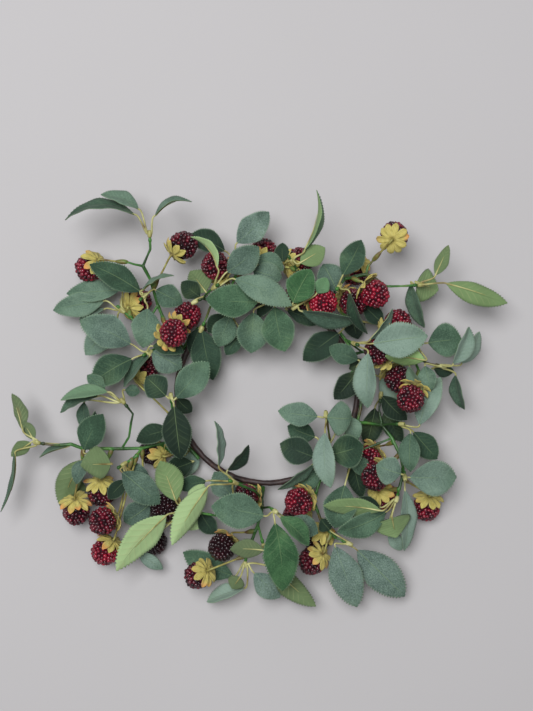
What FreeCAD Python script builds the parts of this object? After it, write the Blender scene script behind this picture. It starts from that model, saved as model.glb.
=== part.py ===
import FreeCAD, Part
import math
import os

from FreeCAD import Placement, Rotation, Vector

# A candle ring of artificial raspberry foliage: a tape-wrapped wire ring with eight moulded
# sprays bound to it. Each spray has a branching stem, leaf sprigs pushed on pegs of the stem,
# fabric leaves on the sprigs, and berries in fabric calyxes on stalks plugged in sockets.
# +Z points up from the surface that the ring lies on, and the origin is the candle's place
# on that surface, at the middle of the ring.

doc = FreeCAD.newDocument("candle_ring")

# Driving sizes in millimetres. They are the cells of the sheet, each with its alias.
sizes = {
    "ring_diameter": 117,
    "ring_thickness": 4,
    "ring_height": 12,
    "wire_thickness": 2,
    "foliage_height": 60,
    "eye_distance": 700,
    "leaf_length": 44.2,
    "leaf_width": 22.1,
    "blade_thickness": 0.8,
    "stem_thickness": 2.2,
    "branch_thickness": 1.8,
    "petiole_thickness": 1.1,
    "collar_thickness": 3.4,
    "collar_length": 4.6,
    "peg_thickness": 1.5,
    "peg_reach": 2.2,
    "fit_gap": 0.06,
    "soft_gap": 0.3,
    "berry_diameter": 16.8,
    "berry_length": 17.2,
    "calyx_diameter": 22,
    "calyx_depth": 3.2,
    "calyx_thickness": 0.8,
    "stalk_thickness": 1.2,
    "socket_thickness": 3,
    "socket_length": 4,
}

sheet = doc.addObject("Spreadsheet::Sheet", "Sizes")
for row, (alias, value) in enumerate(sizes.items(), start=1):
    sheet.set(f"A{row}", alias)
    sheet.set(f"B{row}", str(value))
    sheet.setAlias(f"B{row}", alias)
doc.recompute()


def size(alias):
    return float(sheet.get(alias))


# The plan view that the foliage is laid out in: x to the right and y down, in pixels, seen
# from eye_distance above the ring. Heights are shares of foliage_height above the surface.
view_middle_px = (266.5, 355.5)
ring_middle_px = (267, 393)
ring_radius_px = 90
leaf_length_px = 68
leaf_width_px = 34

plan_scale = size("ring_diameter") / 2 / ring_radius_px
length_scale = size("leaf_length") / leaf_length_px
width_scale = size("leaf_width") / leaf_width_px


def place(x_px, y_px, height_share):
    """The point on a sight line of the plan, at a height."""
    height = height_share * size("foliage_height")
    nearness = 1 - (height - size("ring_height")) / size("eye_distance")
    x = (x_px - view_middle_px[0]) * nearness - (ring_middle_px[0] - view_middle_px[0])
    y = (view_middle_px[1] - y_px) * nearness - (view_middle_px[1] - ring_middle_px[1])
    return Vector(x * plan_scale, y * plan_scale, height)


# Ring

def swept_ring(label, sides, thickness_formula):
    """A ring round Z whose section is a regular polygon, as flats of wound tape leave it."""
    path = doc.addObject("Part::RegularPolygon", label + "_path")
    path.Polygon = ring_runs
    path.setExpression("Circumradius", "Sizes.ring_diameter / 2")
    path.setExpression(".Placement.Base.z", "Sizes.ring_height")
    section = doc.addObject("Part::RegularPolygon", label + "_section")
    section.Polygon = sides
    section.setExpression("Circumradius", thickness_formula)
    section.Placement = Placement(Vector(), Rotation(Vector(1, 0, 0), 90))
    section.setExpression(".Placement.Base.x", "Sizes.ring_diameter / 2")
    section.setExpression(".Placement.Base.z", "Sizes.ring_height")
    ring = doc.addObject("Part::Sweep", label)
    ring.Sections = [section]
    ring.Spine = (path, [f"Edge{k + 1}" for k in range(ring_runs)])
    ring.Solid = True
    ring.Transition = "Right corner"
    return ring


ring_runs = 40
wire_sides = 5
tape_sides = 8
ring_wire = swept_ring("ring_wire", wire_sides, "Sizes.wire_thickness / 2")
tape_outside = swept_ring("tape_outside", tape_sides, "Sizes.ring_thickness / 2")
tape_bore = swept_ring("tape_bore", wire_sides, "Sizes.wire_thickness / 2 + Sizes.fit_gap")
ring_tape = doc.addObject("Part::Cut", "ring_tape")
ring_tape.Base = tape_outside
ring_tape.Tool = tape_bore


def nearest_on(lines, x_px, y_px):
    """The point on the lines of a stem and its branches that is nearest in the plan."""
    best = None
    for start, end in [run for line in lines for run in zip(line, line[1:])]:
        run = end - start
        wanted = place(x_px, y_px, (start.z + end.z) / 2 / size("foliage_height"))
        level_run = Vector(run.x, run.y, 0)
        share = (wanted - start).dot(level_run) / level_run.dot(level_run)
        point = start + run * min(max(share, 0), 1)
        distance = math.hypot(point.x - wanted.x, point.y - wanted.y)
        if best is None or distance < best[0]:
            best = (distance, point)
    return best[1]


# Faceted pieces

def solid_of(polygons):
    """A closed solid from its flat faces, each given by its corners."""
    faces = [Part.Face(Part.makePolygon(corners + corners[:1])) for corners in polygons]
    solid = Part.Solid(Part.makeShell(faces))
    if solid.Volume < 0:
        solid.reverse()
    return solid


def across(direction):
    """Two unit vectors square to a direction."""
    upright = Vector(0, 0, 1)
    if abs(direction.z) > 0.9:
        upright = Vector(0, 1, 0)
    side = direction.cross(upright).normalize()
    return side, side.cross(direction).normalize()


def rod(points, thickness, sides):
    """A rod of even thickness along points, mitred at its bends."""
    runs = [(b - a).normalize() for a, b in zip(points, points[1:])]
    side, upright = across(runs[0])
    turns = [2 * math.pi * (k + 0.5) / sides for k in range(sides)]
    ring = [points[0] + side * (thickness / 2 * math.cos(turn))
            + upright * (thickness / 2 * math.sin(turn)) for turn in turns]
    rings = [ring]
    for k, run in enumerate(runs):
        following = runs[k + 1] if k + 1 < len(runs) else run
        mitre = (run + following).normalize()
        ring = [corner + run * ((points[k + 1] - corner).dot(mitre) / run.dot(mitre))
                for corner in ring]
        rings.append(ring)
    polygons = [rings[0], rings[-1]]
    for near, far in zip(rings, rings[1:]):
        for k in range(sides):
            after = (k + 1) % sides
            polygons.append([near[k], near[after], far[after], far[k]])
    return solid_of(polygons)


# Leaf blade: stations along the midrib as shares of the length, with the half width there as
# a share of the widest. The blade is thickest at the midrib and runs out to a thin edge.
blade_station_shares = [(0.14, 0.56), (0.42, 1.0), (0.67, 0.93), (0.88, 0.48)]
small_blade_station_shares = [(0.17, 0.62), (0.5, 1.0), (0.82, 0.62)]
small_blade_px = 52
fold_degrees = 14


def leaf_axes(foot, tip, roll_degrees):
    """The blade's own directions: along the midrib, to its right and out of its upper face."""
    along = (tip - foot).normalize()
    upright = Vector(0, 0, 1)
    if abs(along.z) > 0.98:
        upright = Vector(0, 1, 0)
    upright = (upright - along * along.dot(upright)).normalize()
    right = along.cross(upright)
    roll = math.radians(roll_degrees)
    upper = upright * math.cos(roll) + right * math.sin(roll)
    return along, right * math.cos(roll) - upright * math.sin(roll), upper


def leaf_blade(leaf):
    foot, tip = leaf["foot"], leaf["tip"]
    along, right, upper = leaf_axes(foot, tip, leaf["roll"])
    length = (tip - foot).Length
    fold = math.radians(fold_degrees)
    half = leaf["width"] / 2 / math.cos(fold)
    to_right = (right * math.cos(fold) + upper * math.sin(fold)) * half
    to_left = (right * -math.cos(fold) + upper * math.sin(fold)) * half
    rise = upper * (size("blade_thickness") / 2)
    stations = blade_station_shares
    if leaf["length_px"] < small_blade_px:
        stations = small_blade_station_shares
    rows = []
    for along_share, width_share in stations:
        bend = 4 * along_share * (1 - along_share) * leaf["arch"] * length
        middle = foot + along * (along_share * length) + upper * bend
        rows.append({
            "top": middle + rise * width_share,
            "under": middle - rise * width_share,
            "right": middle + to_right * width_share,
            "left": middle + to_left * width_share,
        })
    polygons = []
    for skin in ("top", "under"):
        for edge in ("right", "left"):
            polygons.append([foot, rows[0][skin], rows[0][edge]])
            polygons.append([tip, rows[-1][skin], rows[-1][edge]])
            for near, far in zip(rows, rows[1:]):
                polygons.append([near[skin], far[skin], far[edge], near[edge]])
    return solid_of(polygons)


# Berry: rings of corners from the calyx end to the tip, as shares of the length and of half
# the diameter, each ring turned half a step on the last so that the facets stand as drupelets.
berry_ring_shares = [(0.08, 0.56), (0.32, 0.97), (0.62, 0.98), (0.88, 0.6)]
berry_sides = 6


def berry_body(hub, direction):
    side, upright = across(direction)
    length = size("berry_length")
    radius = size("berry_diameter") / 2
    rings = []
    for k, (along_share, radius_share) in enumerate(berry_ring_shares):
        middle = hub + direction * (along_share * length)
        turns = [2 * math.pi * (j + k / 2) / berry_sides for j in range(berry_sides)]
        rings.append([middle + side * (radius * radius_share * math.cos(turn))
                      + upright * (radius * radius_share * math.sin(turn)) for turn in turns])
    polygons = []
    for j in range(berry_sides):
        after = (j + 1) % berry_sides
        polygons.append([hub, rings[0][after], rings[0][j]])
        polygons.append([hub + direction * length, rings[-1][j], rings[-1][after]])
        for near, far in zip(rings, rings[1:]):
            polygons.append([near[j], near[after], far[j]])
            polygons.append([near[after], far[after], far[j]])
    return solid_of(polygons)


# Calyx: a thin star of sepals with a raised hub, cupped over the berry's end
sepal_count = 8
notch_radius_share = 0.62
notch_depth_share = 0.42


def calyx_star(hub, direction):
    side, upright = across(direction)
    radius = size("calyx_diameter") / 2
    depth = size("calyx_depth")
    outer_hub = hub - direction * size("calyx_thickness")
    rim = []
    for k in range(sepal_count):
        turn = 2 * math.pi * k / sepal_count
        notch = turn + math.pi / sepal_count
        rim.append(hub + direction * depth
                   + (side * math.cos(turn) + upright * math.sin(turn)) * radius)
        rim.append(hub + direction * (depth * notch_depth_share)
                   + (side * math.cos(notch) + upright * math.sin(notch))
                   * (radius * notch_radius_share))
    polygons = []
    for near, far in zip(rim, rim[1:] + rim[:1]):
        polygons.append([outer_hub, near, far])
        polygons.append([hub, near, far])
    return solid_of(polygons)


# Primitive pieces

def prism(label, sides, radius_formula, length_formula, start, direction):
    piece = doc.addObject("Part::Prism", label)
    piece.Polygon = sides
    piece.setExpression("Circumradius", radius_formula)
    piece.setExpression("Height", length_formula)
    piece.Placement = Placement(start, Rotation(Vector(0, 0, 1), direction))
    return piece


def faceted(label, shape):
    piece = doc.addObject("Part::Feature", label)
    piece.Shape = shape
    return piece


def joined(label, pieces):
    node = doc.addObject("Part::Compound", label)
    node.Links = pieces
    return node


def moulded(label, pieces):
    node = doc.addObject("Part::MultiFuse", label)
    node.Shapes = pieces
    node.Refine = False
    return node


# Sprays. Every point is (x_px, y_px, height_share). A spray has:
#   root    the angle round the ring, in degrees, where its stem is bound, and the way it runs
#   stem    the points of the main stem after the binding
#   twigs   bare branches that end in a berry's socket
#   sprigs  a path from the stem to the collar, and the leaves of the sprig
#   berries the middle of the berry, its calyx hub in the plan, whether the hub is above (1)
#           or below (-1) the middle, and where along the stem its socket stands
# What stands on a stem is given in the plan alone there, and takes the stem's own height.
#   resting the same, for the berries that lie on the surface and carry the ring
# A leaf is foot x, foot y, tip x, tip y, width, all in pixels, then the height shares of foot
# and tip, the roll about its midrib in degrees, where 180 shows the underside, and the arch as
# a share of its length.

sprays = {
    "upper_left": {
        "root": 152, "way": 1,
        "stem": [(170, 331, 0.3), (163, 318, 0.34), (158, 305, 0.36), (153, 289, 0.42),
                 (150, 279, 0.45), (143, 266, 0.5)],
        "twigs": [[(143, 266), (135, 264.5, 0.47), (127, 262, 0.45)]],
        "sprigs": [
            ([(143, 266), (150.4, 249, 0.55), (150, 241, 0.57)], [
                (138.6, 209, 100.7, 195.5, 14, 0.62, 0.6, 46, 0.1),
                (135, 215, 65.4, 221, 12, 0.6, 0.56, 58, 0.2),
                (155, 215.7, 191.4, 201, 8, 0.62, 0.62, -66, 0.16),
            ]),
            ([(153, 289), (147, 294, 0.48)], [
                (140.6, 291.7, 89.6, 264.3, 25, 0.55, 0.54, 8, 0.06),
                (142, 290, 173.6, 275, 6, 0.56, 0.62, -70, 0.08),
                (147.5, 308.5, 143, 348, 29, 0.5, 0.47, -8, 0.05),
                (156, 290, 182.5, 303, 24, 0.5, 0.47, 0, 0.08),
            ]),
            ([(158, 305), (150, 318, 0.4), (133, 320, 0.38), (125, 313, 0.36)], [
                (120, 290, 66, 293, 22, 0.3, 0.26, 14, 0.06),
                (104, 301, 53.2, 310.4, 24, 0.33, 0.3, -12, 0.06),
                (104, 309, 79.3, 320.4, 10, 0.27, 0.28, 40, 0.05),
                (115, 322, 85.7, 355, 26, 0.28, 0.26, 0, 0.05),
            ]),
            ([(170, 331), (158, 347, 0.36), (152, 350.5, 0.4)], [
                (131, 344, 80, 321, 33, 0.45, 0.44, 4, 0.05),
                (132, 359, 92, 384, 30, 0.4, 0.36, 6, 0.05),
                (149, 356, 124, 387, 12, 0.44, 0.34, 58, 0.04),
                (152, 352, 182, 368, 28, 0.4, 0.38, 0, 0.06),
                (153, 346, 184, 352, 16, 0.5, 0.5, -30, 0.05),
            ]),
        ],
        "berries": [
            ((89.5, 267.5, 0.34), (98.5, 262), 1, (127, 262)),
            ((183, 245.7, 0.52), (173.6, 254.3), 1, (166, 284)),
            ((138, 302, 0.2), (130.7, 306.8), 1, (131, 318)),
            ((173.2, 333.2, 0.65), (167, 337), -1, (162, 317)),
            ((186.8, 316, 0.36), (178.5, 325), 1, (170, 331)),
        ],
        "resting": [],
    },
    "top": {
        "root": 108, "way": 1,
        "stem": [(222, 302, 0.3), (212, 302, 0.4), (203, 298, 0.5)],
        "sprigs": [
            ([(203, 298), (209, 291.5, 0.58), (212, 289.3, 0.62)], [
                (217.5, 268, 190.7, 237, 7, 0.78, 0.8, 112, 0.16),
                (227, 272, 259, 247, 27, 0.7, 0.68, 4, 0.05),
                (234.5, 279, 292, 305.5, 25, 0.76, 0.74, -12, 0.06),
            ]),
            ([(203, 298), (201, 299, 0.5)], [
                (200, 297, 181.5, 282, 20, 0.48, 0.46, 0, 0.05),
                (206, 292, 190, 271, 28, 0.52, 0.5, 172, 0.04),
            ]),
            ([(222, 302), (232, 285, 0.36), (238, 268, 0.42)], [
                (225, 251, 189.5, 235, 22, 0.44, 0.34, 6, 0.06),
                (237, 243, 269, 212, 27, 0.5, 0.48, 0, 0.06),
                (253, 270, 282, 278, 24, 0.56, 0.55, 0, 0.05),
                (256, 258, 284, 270, 20, 0.5, 0.5, -14, 0.05),
            ]),
            ([(234, 301), (256, 302, 0.4), (265, 301.5, 0.5)], [
                (258, 302, 205.5, 298.5, 32, 0.66, 0.66, 4, 0.05),
                (253.5, 312.5, 251, 353, 31, 0.52, 0.48, -6, 0.05),
                (274.7, 307, 285, 351.5, 32, 0.56, 0.5, 4, 0.05),
                (275, 302, 257, 318, 12, 0.36, 0.36, 40, 0.05),
            ]),
            ([(222, 302), (228, 309, 0.36)], [
                (230, 316, 218.5, 347, 24, 0.46, 0.42, -14, 0.06),
                (240, 335, 226, 355, 16, 0.36, 0.33, 0, 0.05),
                (226, 315, 208, 332, 20, 0.36, 0.32, 6, 0.05),
            ]),
            ([(212, 302), (207, 316, 0.34), (204, 323, 0.33)], [
                (202, 330, 213, 380, 30, 0.32, 0.28, 0, 0.05),
                (199, 329, 190, 353, 16, 0.26, 0.24, 10, 0.05),
            ]),
        ],
        "berries": [
            ((216, 266, 0.48), (224, 272), -1, (229, 290)),
        ],
        "resting": [
            ((263, 252, 0.14), (258, 261), 1, (234, 280)),
        ],
    },
    "upper_right": {
        "root": 62, "way": -1,
        "stem": [(322, 298, 0.3), (333, 286, 0.42), (345, 279, 0.52), (364, 274.5, 0.58),
                 (371, 276, 0.58), (386, 286.4, 0.58)],
        "twigs": [[(366, 275), (368, 266, 0.57), (373.5, 260, 0.56)]],
        "sprigs": [
            ([(386, 286.4), (404, 286, 0.57), (414, 285.3, 0.56)], [
                (435.4, 275.4, 448.6, 245, 13, 0.58, 0.6, 160, 0.04),
                (446, 283.5, 506.5, 303.5, 21, 0.58, 0.5, 172, -0.08),
                (417, 282, 438, 290, 33, 0.5, 0.38, 178, 0.05),
                (411, 284, 424, 328, 12, 0.5, 0.38, 55, 0.06),
            ]),
            ([(322, 298), (306, 284, 0.46), (294, 265, 0.56)], [
                (305, 250, 318.4, 190.4, 4, 0.64, 0.7, 80, 0.08),
                (300, 263, 325, 247.5, 21, 0.62, 0.66, 174, 0.05),
                (283, 262, 282.5, 243, 15, 0.46, 0.4, 0, 0.05),
            ]),
            ([(333, 286), (314, 285, 0.58), (299, 302, 0.62)], [
                (293, 303, 311, 269, 29, 0.7, 0.68, 0, 0.05),
                (317, 293, 327, 278, 15, 0.7, 0.68, 10, 0.05),
                (302, 311.5, 358.6, 321.4, 15, 0.68, 0.6, 48, 0.06),
                (287, 310, 322, 324, 14, 0.42, 0.38, 20, 0.06),
            ]),
            ([(345, 279), (341, 284, 0.6)], [
                (343, 275, 361.3, 240, 24, 0.66, 0.64, -6, 0.06),
                (337, 291, 323, 264, 27, 0.57, 0.54, 0, 0.05),
                (349.5, 292.5, 367.3, 334, 9, 0.76, 0.7, 60, 0.06),
            ]),
            ([(333, 286), (340, 312, 0.36), (349, 318, 0.28)], [
                (352, 316, 358, 339, 22, 0.18, 0.18, 0, 0.05),
                (383, 324, 364, 306, 17, 0.4, 0.4, 0, 0.05),
                (339, 333, 303, 360.5, 27, 0.42, 0.36, 0, 0.06),
            ]),
        ],
        "berries": [
            ((299, 261, 0.34), (288, 266), 1, (297, 270)),
            ((297, 298, 0.345), (303, 290), 1, (345, 279)),
            ((394, 236, 0.56), (391, 240.4), 1, (373.5, 260)),
            ((374.6, 293.5, 0.66), (365, 284), -1, (352, 280)),
            ((322.5, 302, 0.56), (312.8, 300.5), -1, (300, 296)),
            ((353, 302, 0.46), (343, 297.5), -1, (336, 285)),
        ],
        "resting": [
            ((355, 271, 0.14), (358, 262), 1, (345, 279)),
        ],
    },
    "right": {
        "root": 24, "way": -1,
        "stem": [(362, 352, 0.26), (378, 350, 0.28), (398, 354, 0.32), (420, 360, 0.38)],
        "sprigs": [
            ([(362, 352), (346, 340, 0.5), (352, 342.5, 0.6)], [
                (370.7, 339.3, 391.8, 308.2, 9, 0.7, 0.7, 64, 0.05),
                (373, 343.5, 427.5, 336, 34, 0.74, 0.74, 4, 0.05),
                (368, 353, 366.5, 408.5, 20, 0.66, 0.56, 36, 0.05),
            ]),
            ([(378, 350), (396, 345, 0.48), (412, 344, 0.52)], [
                (428, 343, 462, 340, 32, 0.54, 0.5, -8, 0.06),
                (425, 360, 385, 356, 20, 0.7, 0.7, 152, 0.05),
                (409, 366, 423, 396, 11, 0.56, 0.5, 52, 0.05),
            ]),
            ([(420, 360), (430, 364, 0.44), (436, 365, 0.45)], [
                (453.5, 364, 470, 327, 18, 0.6, 0.58, 36, 0.04),
                (462, 363.5, 479.5, 331.5, 14, 0.42, 0.4, 50, 0.05),
                (434, 369, 454, 371.3, 13, 0.38, 0.36, 30, 0.05),
                (455.5, 375, 464.3, 409.7, 10, 0.44, 0.4, 58, 0.08),
                (425, 366, 431.5, 390, 17, 0.56, 0.56, 26, 0.05),
            ]),
            ([(378, 350), (366, 364, 0.36), (361, 367, 0.36)], [
                (358, 360, 329, 347, 20, 0.5, 0.48, 0, 0.05),
                (366, 361, 349, 369, 14, 0.42, 0.4, 0, 0.05),
                (357, 372, 334.5, 399.5, 24, 0.38, 0.36, -10, 0.06),
                (380, 378, 398.5, 400, 15, 0.24, 0.22, 20, 0.05),
            ]),
            ([(414, 357), (421, 376, 0.3), (424, 384, 0.3)], [
                (432, 390, 419.4, 419, 15, 0.3, 0.26, 10, 0.05),
                (421, 400, 414, 412, 12, 0.26, 0.24, 0, 0.05),
            ]),
        ],
        "berries": [
            ((397, 324, 0.5), (387, 332), 1, (386, 347)),
            ((379, 351, 0.56), (388, 358), -1, (392, 353)),
            ((398.2, 378.2, 0.38), (391.5, 368), -1, (390, 353)),
            ((411, 398, 0.66), (416, 387.5), -1, (419, 371)),
        ],
        "resting": [],
    },
    "lower_right": {
        "root": -18, "way": -1,
        "stem": [(368, 423, 0.26), (382, 425, 0.34), (392, 438, 0.38), (400, 455, 0.42),
                 (403, 466, 0.46), (402, 478, 0.48), (399, 490, 0.5)],
        "sprigs": [
            ([(382, 425), (390, 424, 0.42), (396, 424, 0.48)], [
                (419.5, 425, 440.8, 377, 22, 0.52, 0.5, -28, 0.06),
                (410.5, 433, 410, 472, 20, 0.58, 0.56, 24, 0.05),
                (413.5, 432, 437, 459, 23, 0.46, 0.42, 0, 0.06),
            ]),
            ([(382, 425), (379, 410, 0.3), (380, 402, 0.3)], [
                (382, 396, 407, 420, 20, 0.34, 0.34, 10, 0.05),
                (385, 409, 403, 442, 18, 0.26, 0.26, 20, 0.05),
                (375, 408, 366, 446, 22, 0.16, 0.1, -10, 0.05),
            ]),
            ([(403, 466), (404, 472, 0.52)], [
                (401, 474, 376, 465, 27, 0.68, 0.66, 0, 0.05),
                (409.5, 477.5, 456.7, 477, 34, 0.52, 0.44, 0, 0.06),
                (405, 490, 404.5, 551, 18, 0.42, 0.32, -34, 0.05),
            ]),
            ([(399, 490), (398, 494, 0.54)], [
                (381, 510.5, 323.5, 506.5, 19, 0.66, 0.66, 148, 0.06),
                (392, 518, 396, 537, 36, 0.62, 0.5, 176, 0.05),
                (386, 512, 337, 531.5, 24, 0.54, 0.5, -16, 0.06),
                (380, 507, 354, 501, 13, 0.5, 0.46, 30, 0.05),
                (388, 533, 402, 550, 14, 0.36, 0.3, 0, 0.05),
            ]),
            ([(392, 438), (372, 446, 0.34), (356, 452, 0.32)], [
                (352, 458, 362, 498, 18, 0.3, 0.26, 14, 0.05),
                (354, 456, 367, 476, 17, 0.4, 0.36, 0, 0.05),
                (345, 485, 335, 528, 32, 0.52, 0.48, 0, 0.06),
                (352, 418, 358, 440, 12, 0.36, 0.34, 30, 0.05),
            ]),
        ],
        "berries": [
            ((368, 458.5, 0.25), (376.5, 450), -1, (392, 443)),
            ((376, 476.5, 0.5), (386, 469.5), -1, (399, 454)),
            ((384, 496, 0.22), (378, 490), 1, (399, 489)),
        ],
        "resting": [
            ((426.9, 507.3, 0.14), (428.4, 496.5), 1, (402, 478)),
        ],
    },
    "bottom": {
        "root": -50, "way": 1,
        "stem": [(322, 474, 0.3), (318, 486, 0.34), (314, 502, 0.34), (322, 524, 0.32),
                 (336, 538, 0.32)],
        "sprigs": [
            ([(336, 464), (330, 440, 0.46), (327, 420, 0.58)], [
                (325, 432.5, 330, 488.3, 20, 0.7, 0.66, 30, 0.05),
                (317.6, 416.6, 278, 410.8, 23, 0.66, 0.66, 12, 0.05),
                (327, 417, 352, 418, 33, 0.72, 0.6, 0, 0.06),
            ]),
            ([(336, 464), (334, 458, 0.38), (328, 454, 0.44)], [
                (330, 455, 363.5, 445.5, 32, 0.56, 0.54, 0, 0.05),
                (315, 437, 287.4, 426, 22, 0.48, 0.46, -6, 0.06),
                (314, 457, 280, 443.5, 27, 0.56, 0.52, 0, 0.06),
                (314, 464, 277.4, 489, 11, 0.5, 0.44, -52, 0.05),
            ]),
            ([(322, 474), (326, 472, 0.32)], [
                (322, 470, 292, 492, 19, 0.34, 0.28, 0, 0.05),
                (347, 416, 357, 440, 18, 0.44, 0.42, 0, 0.05),
            ]),
            ([(336, 538), (343, 541, 0.34)], [
                (335, 546, 357, 607.5, 33, 0.42, 0.32, 4, 0.06),
                (357, 550, 405.5, 597, 34, 0.36, 0.26, -6, 0.06),
                (330, 530, 321, 519, 16, 0.34, 0.36, 0, 0.05),
            ]),
        ],
        "berries": [
            ((299.3, 501.3, 0.46), (309, 495), -1, (316, 494)),
            ((312.5, 560.5, 0.3), (321, 553), 1, (330, 534)),
        ],
        "resting": [
            ((318, 538, 0.14), (323, 530), 1, (322, 523)),
            ((296, 516, 0.14), (304, 509), 1, (316, 508)),
        ],
    },
    "lower_left": {
        "root": -92, "way": 1,
        "stem": [(262, 498, 0.36), (262, 508, 0.4), (258, 524, 0.42), (252, 540, 0.4)],
        "sprigs": [
            ([(262, 498), (254, 490.5, 0.5), (238, 484, 0.62)], [
                (219, 466, 216.6, 421, 8, 0.7, 0.76, 66, 0.05),
                (228, 470.5, 249.3, 445.3, 12, 0.54, 0.52, 55, 0.05),
                (233, 497, 214, 472, 24, 0.44, 0.42, 0, 0.05),
                (207.5, 487, 171.8, 545.3, 23, 0.74, 0.62, 158, 0.06),
                (206, 481, 176, 486, 17, 0.42, 0.4, 0, 0.05),
            ]),
            ([(260, 516), (240, 520, 0.4), (196, 512, 0.48), (189, 511, 0.5)], [
                (166, 515.5, 116.3, 569.4, 30, 0.6, 0.46, 160, 0.05),
                (176, 501, 160, 461, 27, 0.62, 0.64, 172, 0.05),
                (190, 508, 204, 484, 18, 0.52, 0.54, 176, 0.05),
                (182, 516, 201, 528, 16, 0.4, 0.36, 170, 0.05),
                (200, 512, 215, 534, 18, 0.36, 0.3, 0, 0.05),
                (138, 552, 163, 569, 13, 0.28, 0.2, 0, 0.05),
            ]),
            ([(262, 508), (269, 507, 0.58), (272, 509, 0.64)], [
                (264, 516, 211, 506.5, 34, 0.74, 0.7, 4, 0.05),
                (275, 523, 282.7, 590.8, 34, 0.76, 0.6, 0, 0.06),
                (280, 517, 309.7, 545.2, 17, 0.66, 0.6, -34, 0.05),
                (288, 519, 318, 533, 22, 0.52, 0.48, 0, 0.05),
            ]),
            ([(252, 540), (247, 552, 0.38), (246, 558, 0.36)], [
                (233, 576, 183.5, 552, 26, 0.18, 0.04, 0, 0.05),
                (240, 577, 232, 589, 17, 0.36, 0.34, 176, 0.05),
                (254, 573, 280, 598, 24, 0.36, 0.28, 0, 0.06),
                (244.5, 588, 206.8, 602, 11, 0.26, 0.2, 54, 0.06),
                (272, 568, 316, 606.5, 22, 0.44, 0.32, 164, 0.05),
            ]),
            ([(258, 524), (262, 540, 0.42)], [
                (264, 550, 230, 549, 19, 0.57, 0.56, 160, 0.05),
            ]),
        ],
        "berries": [
            ((245, 497.5, 0.38), (255.3, 500.5), -1, (262, 506)),
            ((198.3, 575.2, 0.34), (207, 569.5), 1, (246, 555)),
            ((165, 508, 0.26), (174, 514), -1, (200, 511)),
            ((222.5, 546.5, 0.36), (229.5, 537), -1, (256, 531)),
        ],
        "resting": [],
    },
    "left": {
        "root": -152, "way": -1,
        "stem": [(160, 444, 0.28), (142, 448, 0.32), (121.7, 448.7, 0.36), (103, 448.7, 0.4),
                 (80.4, 447.6, 0.45), (71, 444, 0.47), (60, 445, 0.48)],
        "sprigs": [
            ([(60, 445), (51, 444.8, 0.48), (44, 443.8, 0.48)], [
                (23, 430.4, 11.5, 393.6, 14, 0.52, 0.52, 165, 0.04),
                (34, 440, 21.8, 421, 13, 0.5, 0.54, 160, 0.05),
                (31, 442.4, 11, 456.5, 14, 0.46, 0.44, 168, 0.05),
                (14, 453, 0, 512, 7, 0.45, 0.4, 66, -0.1),
                (68, 446, 39.5, 457.5, 4, 0.42, 0.38, 76, 0.04),
            ]),
            ([(121.7, 448.7), (129, 437, 0.4), (131, 423.5, 0.44), (133, 414, 0.46),
              (127, 406.5, 0.48)], [
                (108, 392, 60.8, 400.5, 13, 0.54, 0.52, 46, 0.08),
                (98, 396, 60.3, 412.6, 11, 0.46, 0.44, 50, 0.06),
                (105, 390, 87.3, 375, 15, 0.44, 0.42, 0, 0.05),
                (84, 402, 88, 432, 15, 0.36, 0.34, 26, 0.05),
                (125, 390, 140, 392, 12, 0.34, 0.32, 0, 0.05),
            ]),
            ([(103, 448.7), (98, 453, 0.46)], [
                (84, 450, 103, 414, 27, 0.52, 0.52, -10, 0.06),
                (87, 433, 95.5, 411.5, 7, 0.44, 0.44, 60, 0.05),
                (111, 464, 81, 465, 32, 0.66, 0.58, 172, 0.05),
                (86, 459, 76, 484, 15, 0.5, 0.48, 20, 0.05),
                (81, 460, 60, 506, 23, 0.36, 0.28, 164, 0.06),
                (80, 480, 74, 496, 18, 0.14, 0.14, 176, 0.05),
            ]),
            ([(142, 448), (136, 456, 0.38), (127, 462, 0.42)], [
                (122, 472, 160, 504, 27, 0.46, 0.42, -8, 0.06),
                (150, 504, 124, 522, 26, 0.34, 0.28, 0, 0.05),
                (126, 480, 108, 499, 15, 0.46, 0.48, 0, 0.05),
                (150, 478, 118, 466, 16, 0.3, 0.28, 20, 0.05),
            ]),
            ([(182, 437), (175.5, 420.5, 0.28), (172, 408, 0.42), (171.5, 402, 0.46)], [
                (166, 396, 146, 377, 26, 0.5, 0.48, 0, 0.05),
                (176, 398, 209, 362, 28, 0.56, 0.54, 0, 0.05),
                (174, 406, 180.5, 459.5, 29, 0.52, 0.46, 0, 0.06),
                (177, 399, 192, 412, 15, 0.36, 0.3, 0, 0.05),
            ]),
            ([(160, 444), (168, 450, 0.2), (176, 456, 0.16)], [
                (194, 448, 187, 476, 19, 0.11, 0.09, 0, 0.05),
                (170, 430, 136, 441, 19, 0.46, 0.44, 18, 0.05),
                (192, 462, 166, 470, 22, 0.24, 0.2, 0, 0.05),
            ]),
        ],
        "berries": [
            ((76.3, 510.7, 0.26), (76.3, 499.5), 1, (84, 448)),
            ((101, 492, 0.3), (101, 480.5), 1, (112, 450)),
            ((103.5, 521, 0.42), (114.5, 516), -1, (132, 459)),
            ((105.5, 551, 0.28), (113, 540.5), 1, (137, 454)),
        ],
        "resting": [
            ((145, 369, 0.14), (138, 378), 1, (175.5, 420.5)),
            ((153, 452, 0.14), (163, 455), 1, (190, 449)),
            ((153, 541, 0.14), (147, 531), 1, (142, 448)),
        ],
    },
}

# How far a stem runs along the ring where it is bound, in degrees
binding_degrees = 16
stem_sides = 5
branch_sides = 4
stalk_sides = 3
petiole_sides = 3
socket_sides = 5
collar_sides = 6
peg_sides = 4
petiole_seat_share = 0.1


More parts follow.
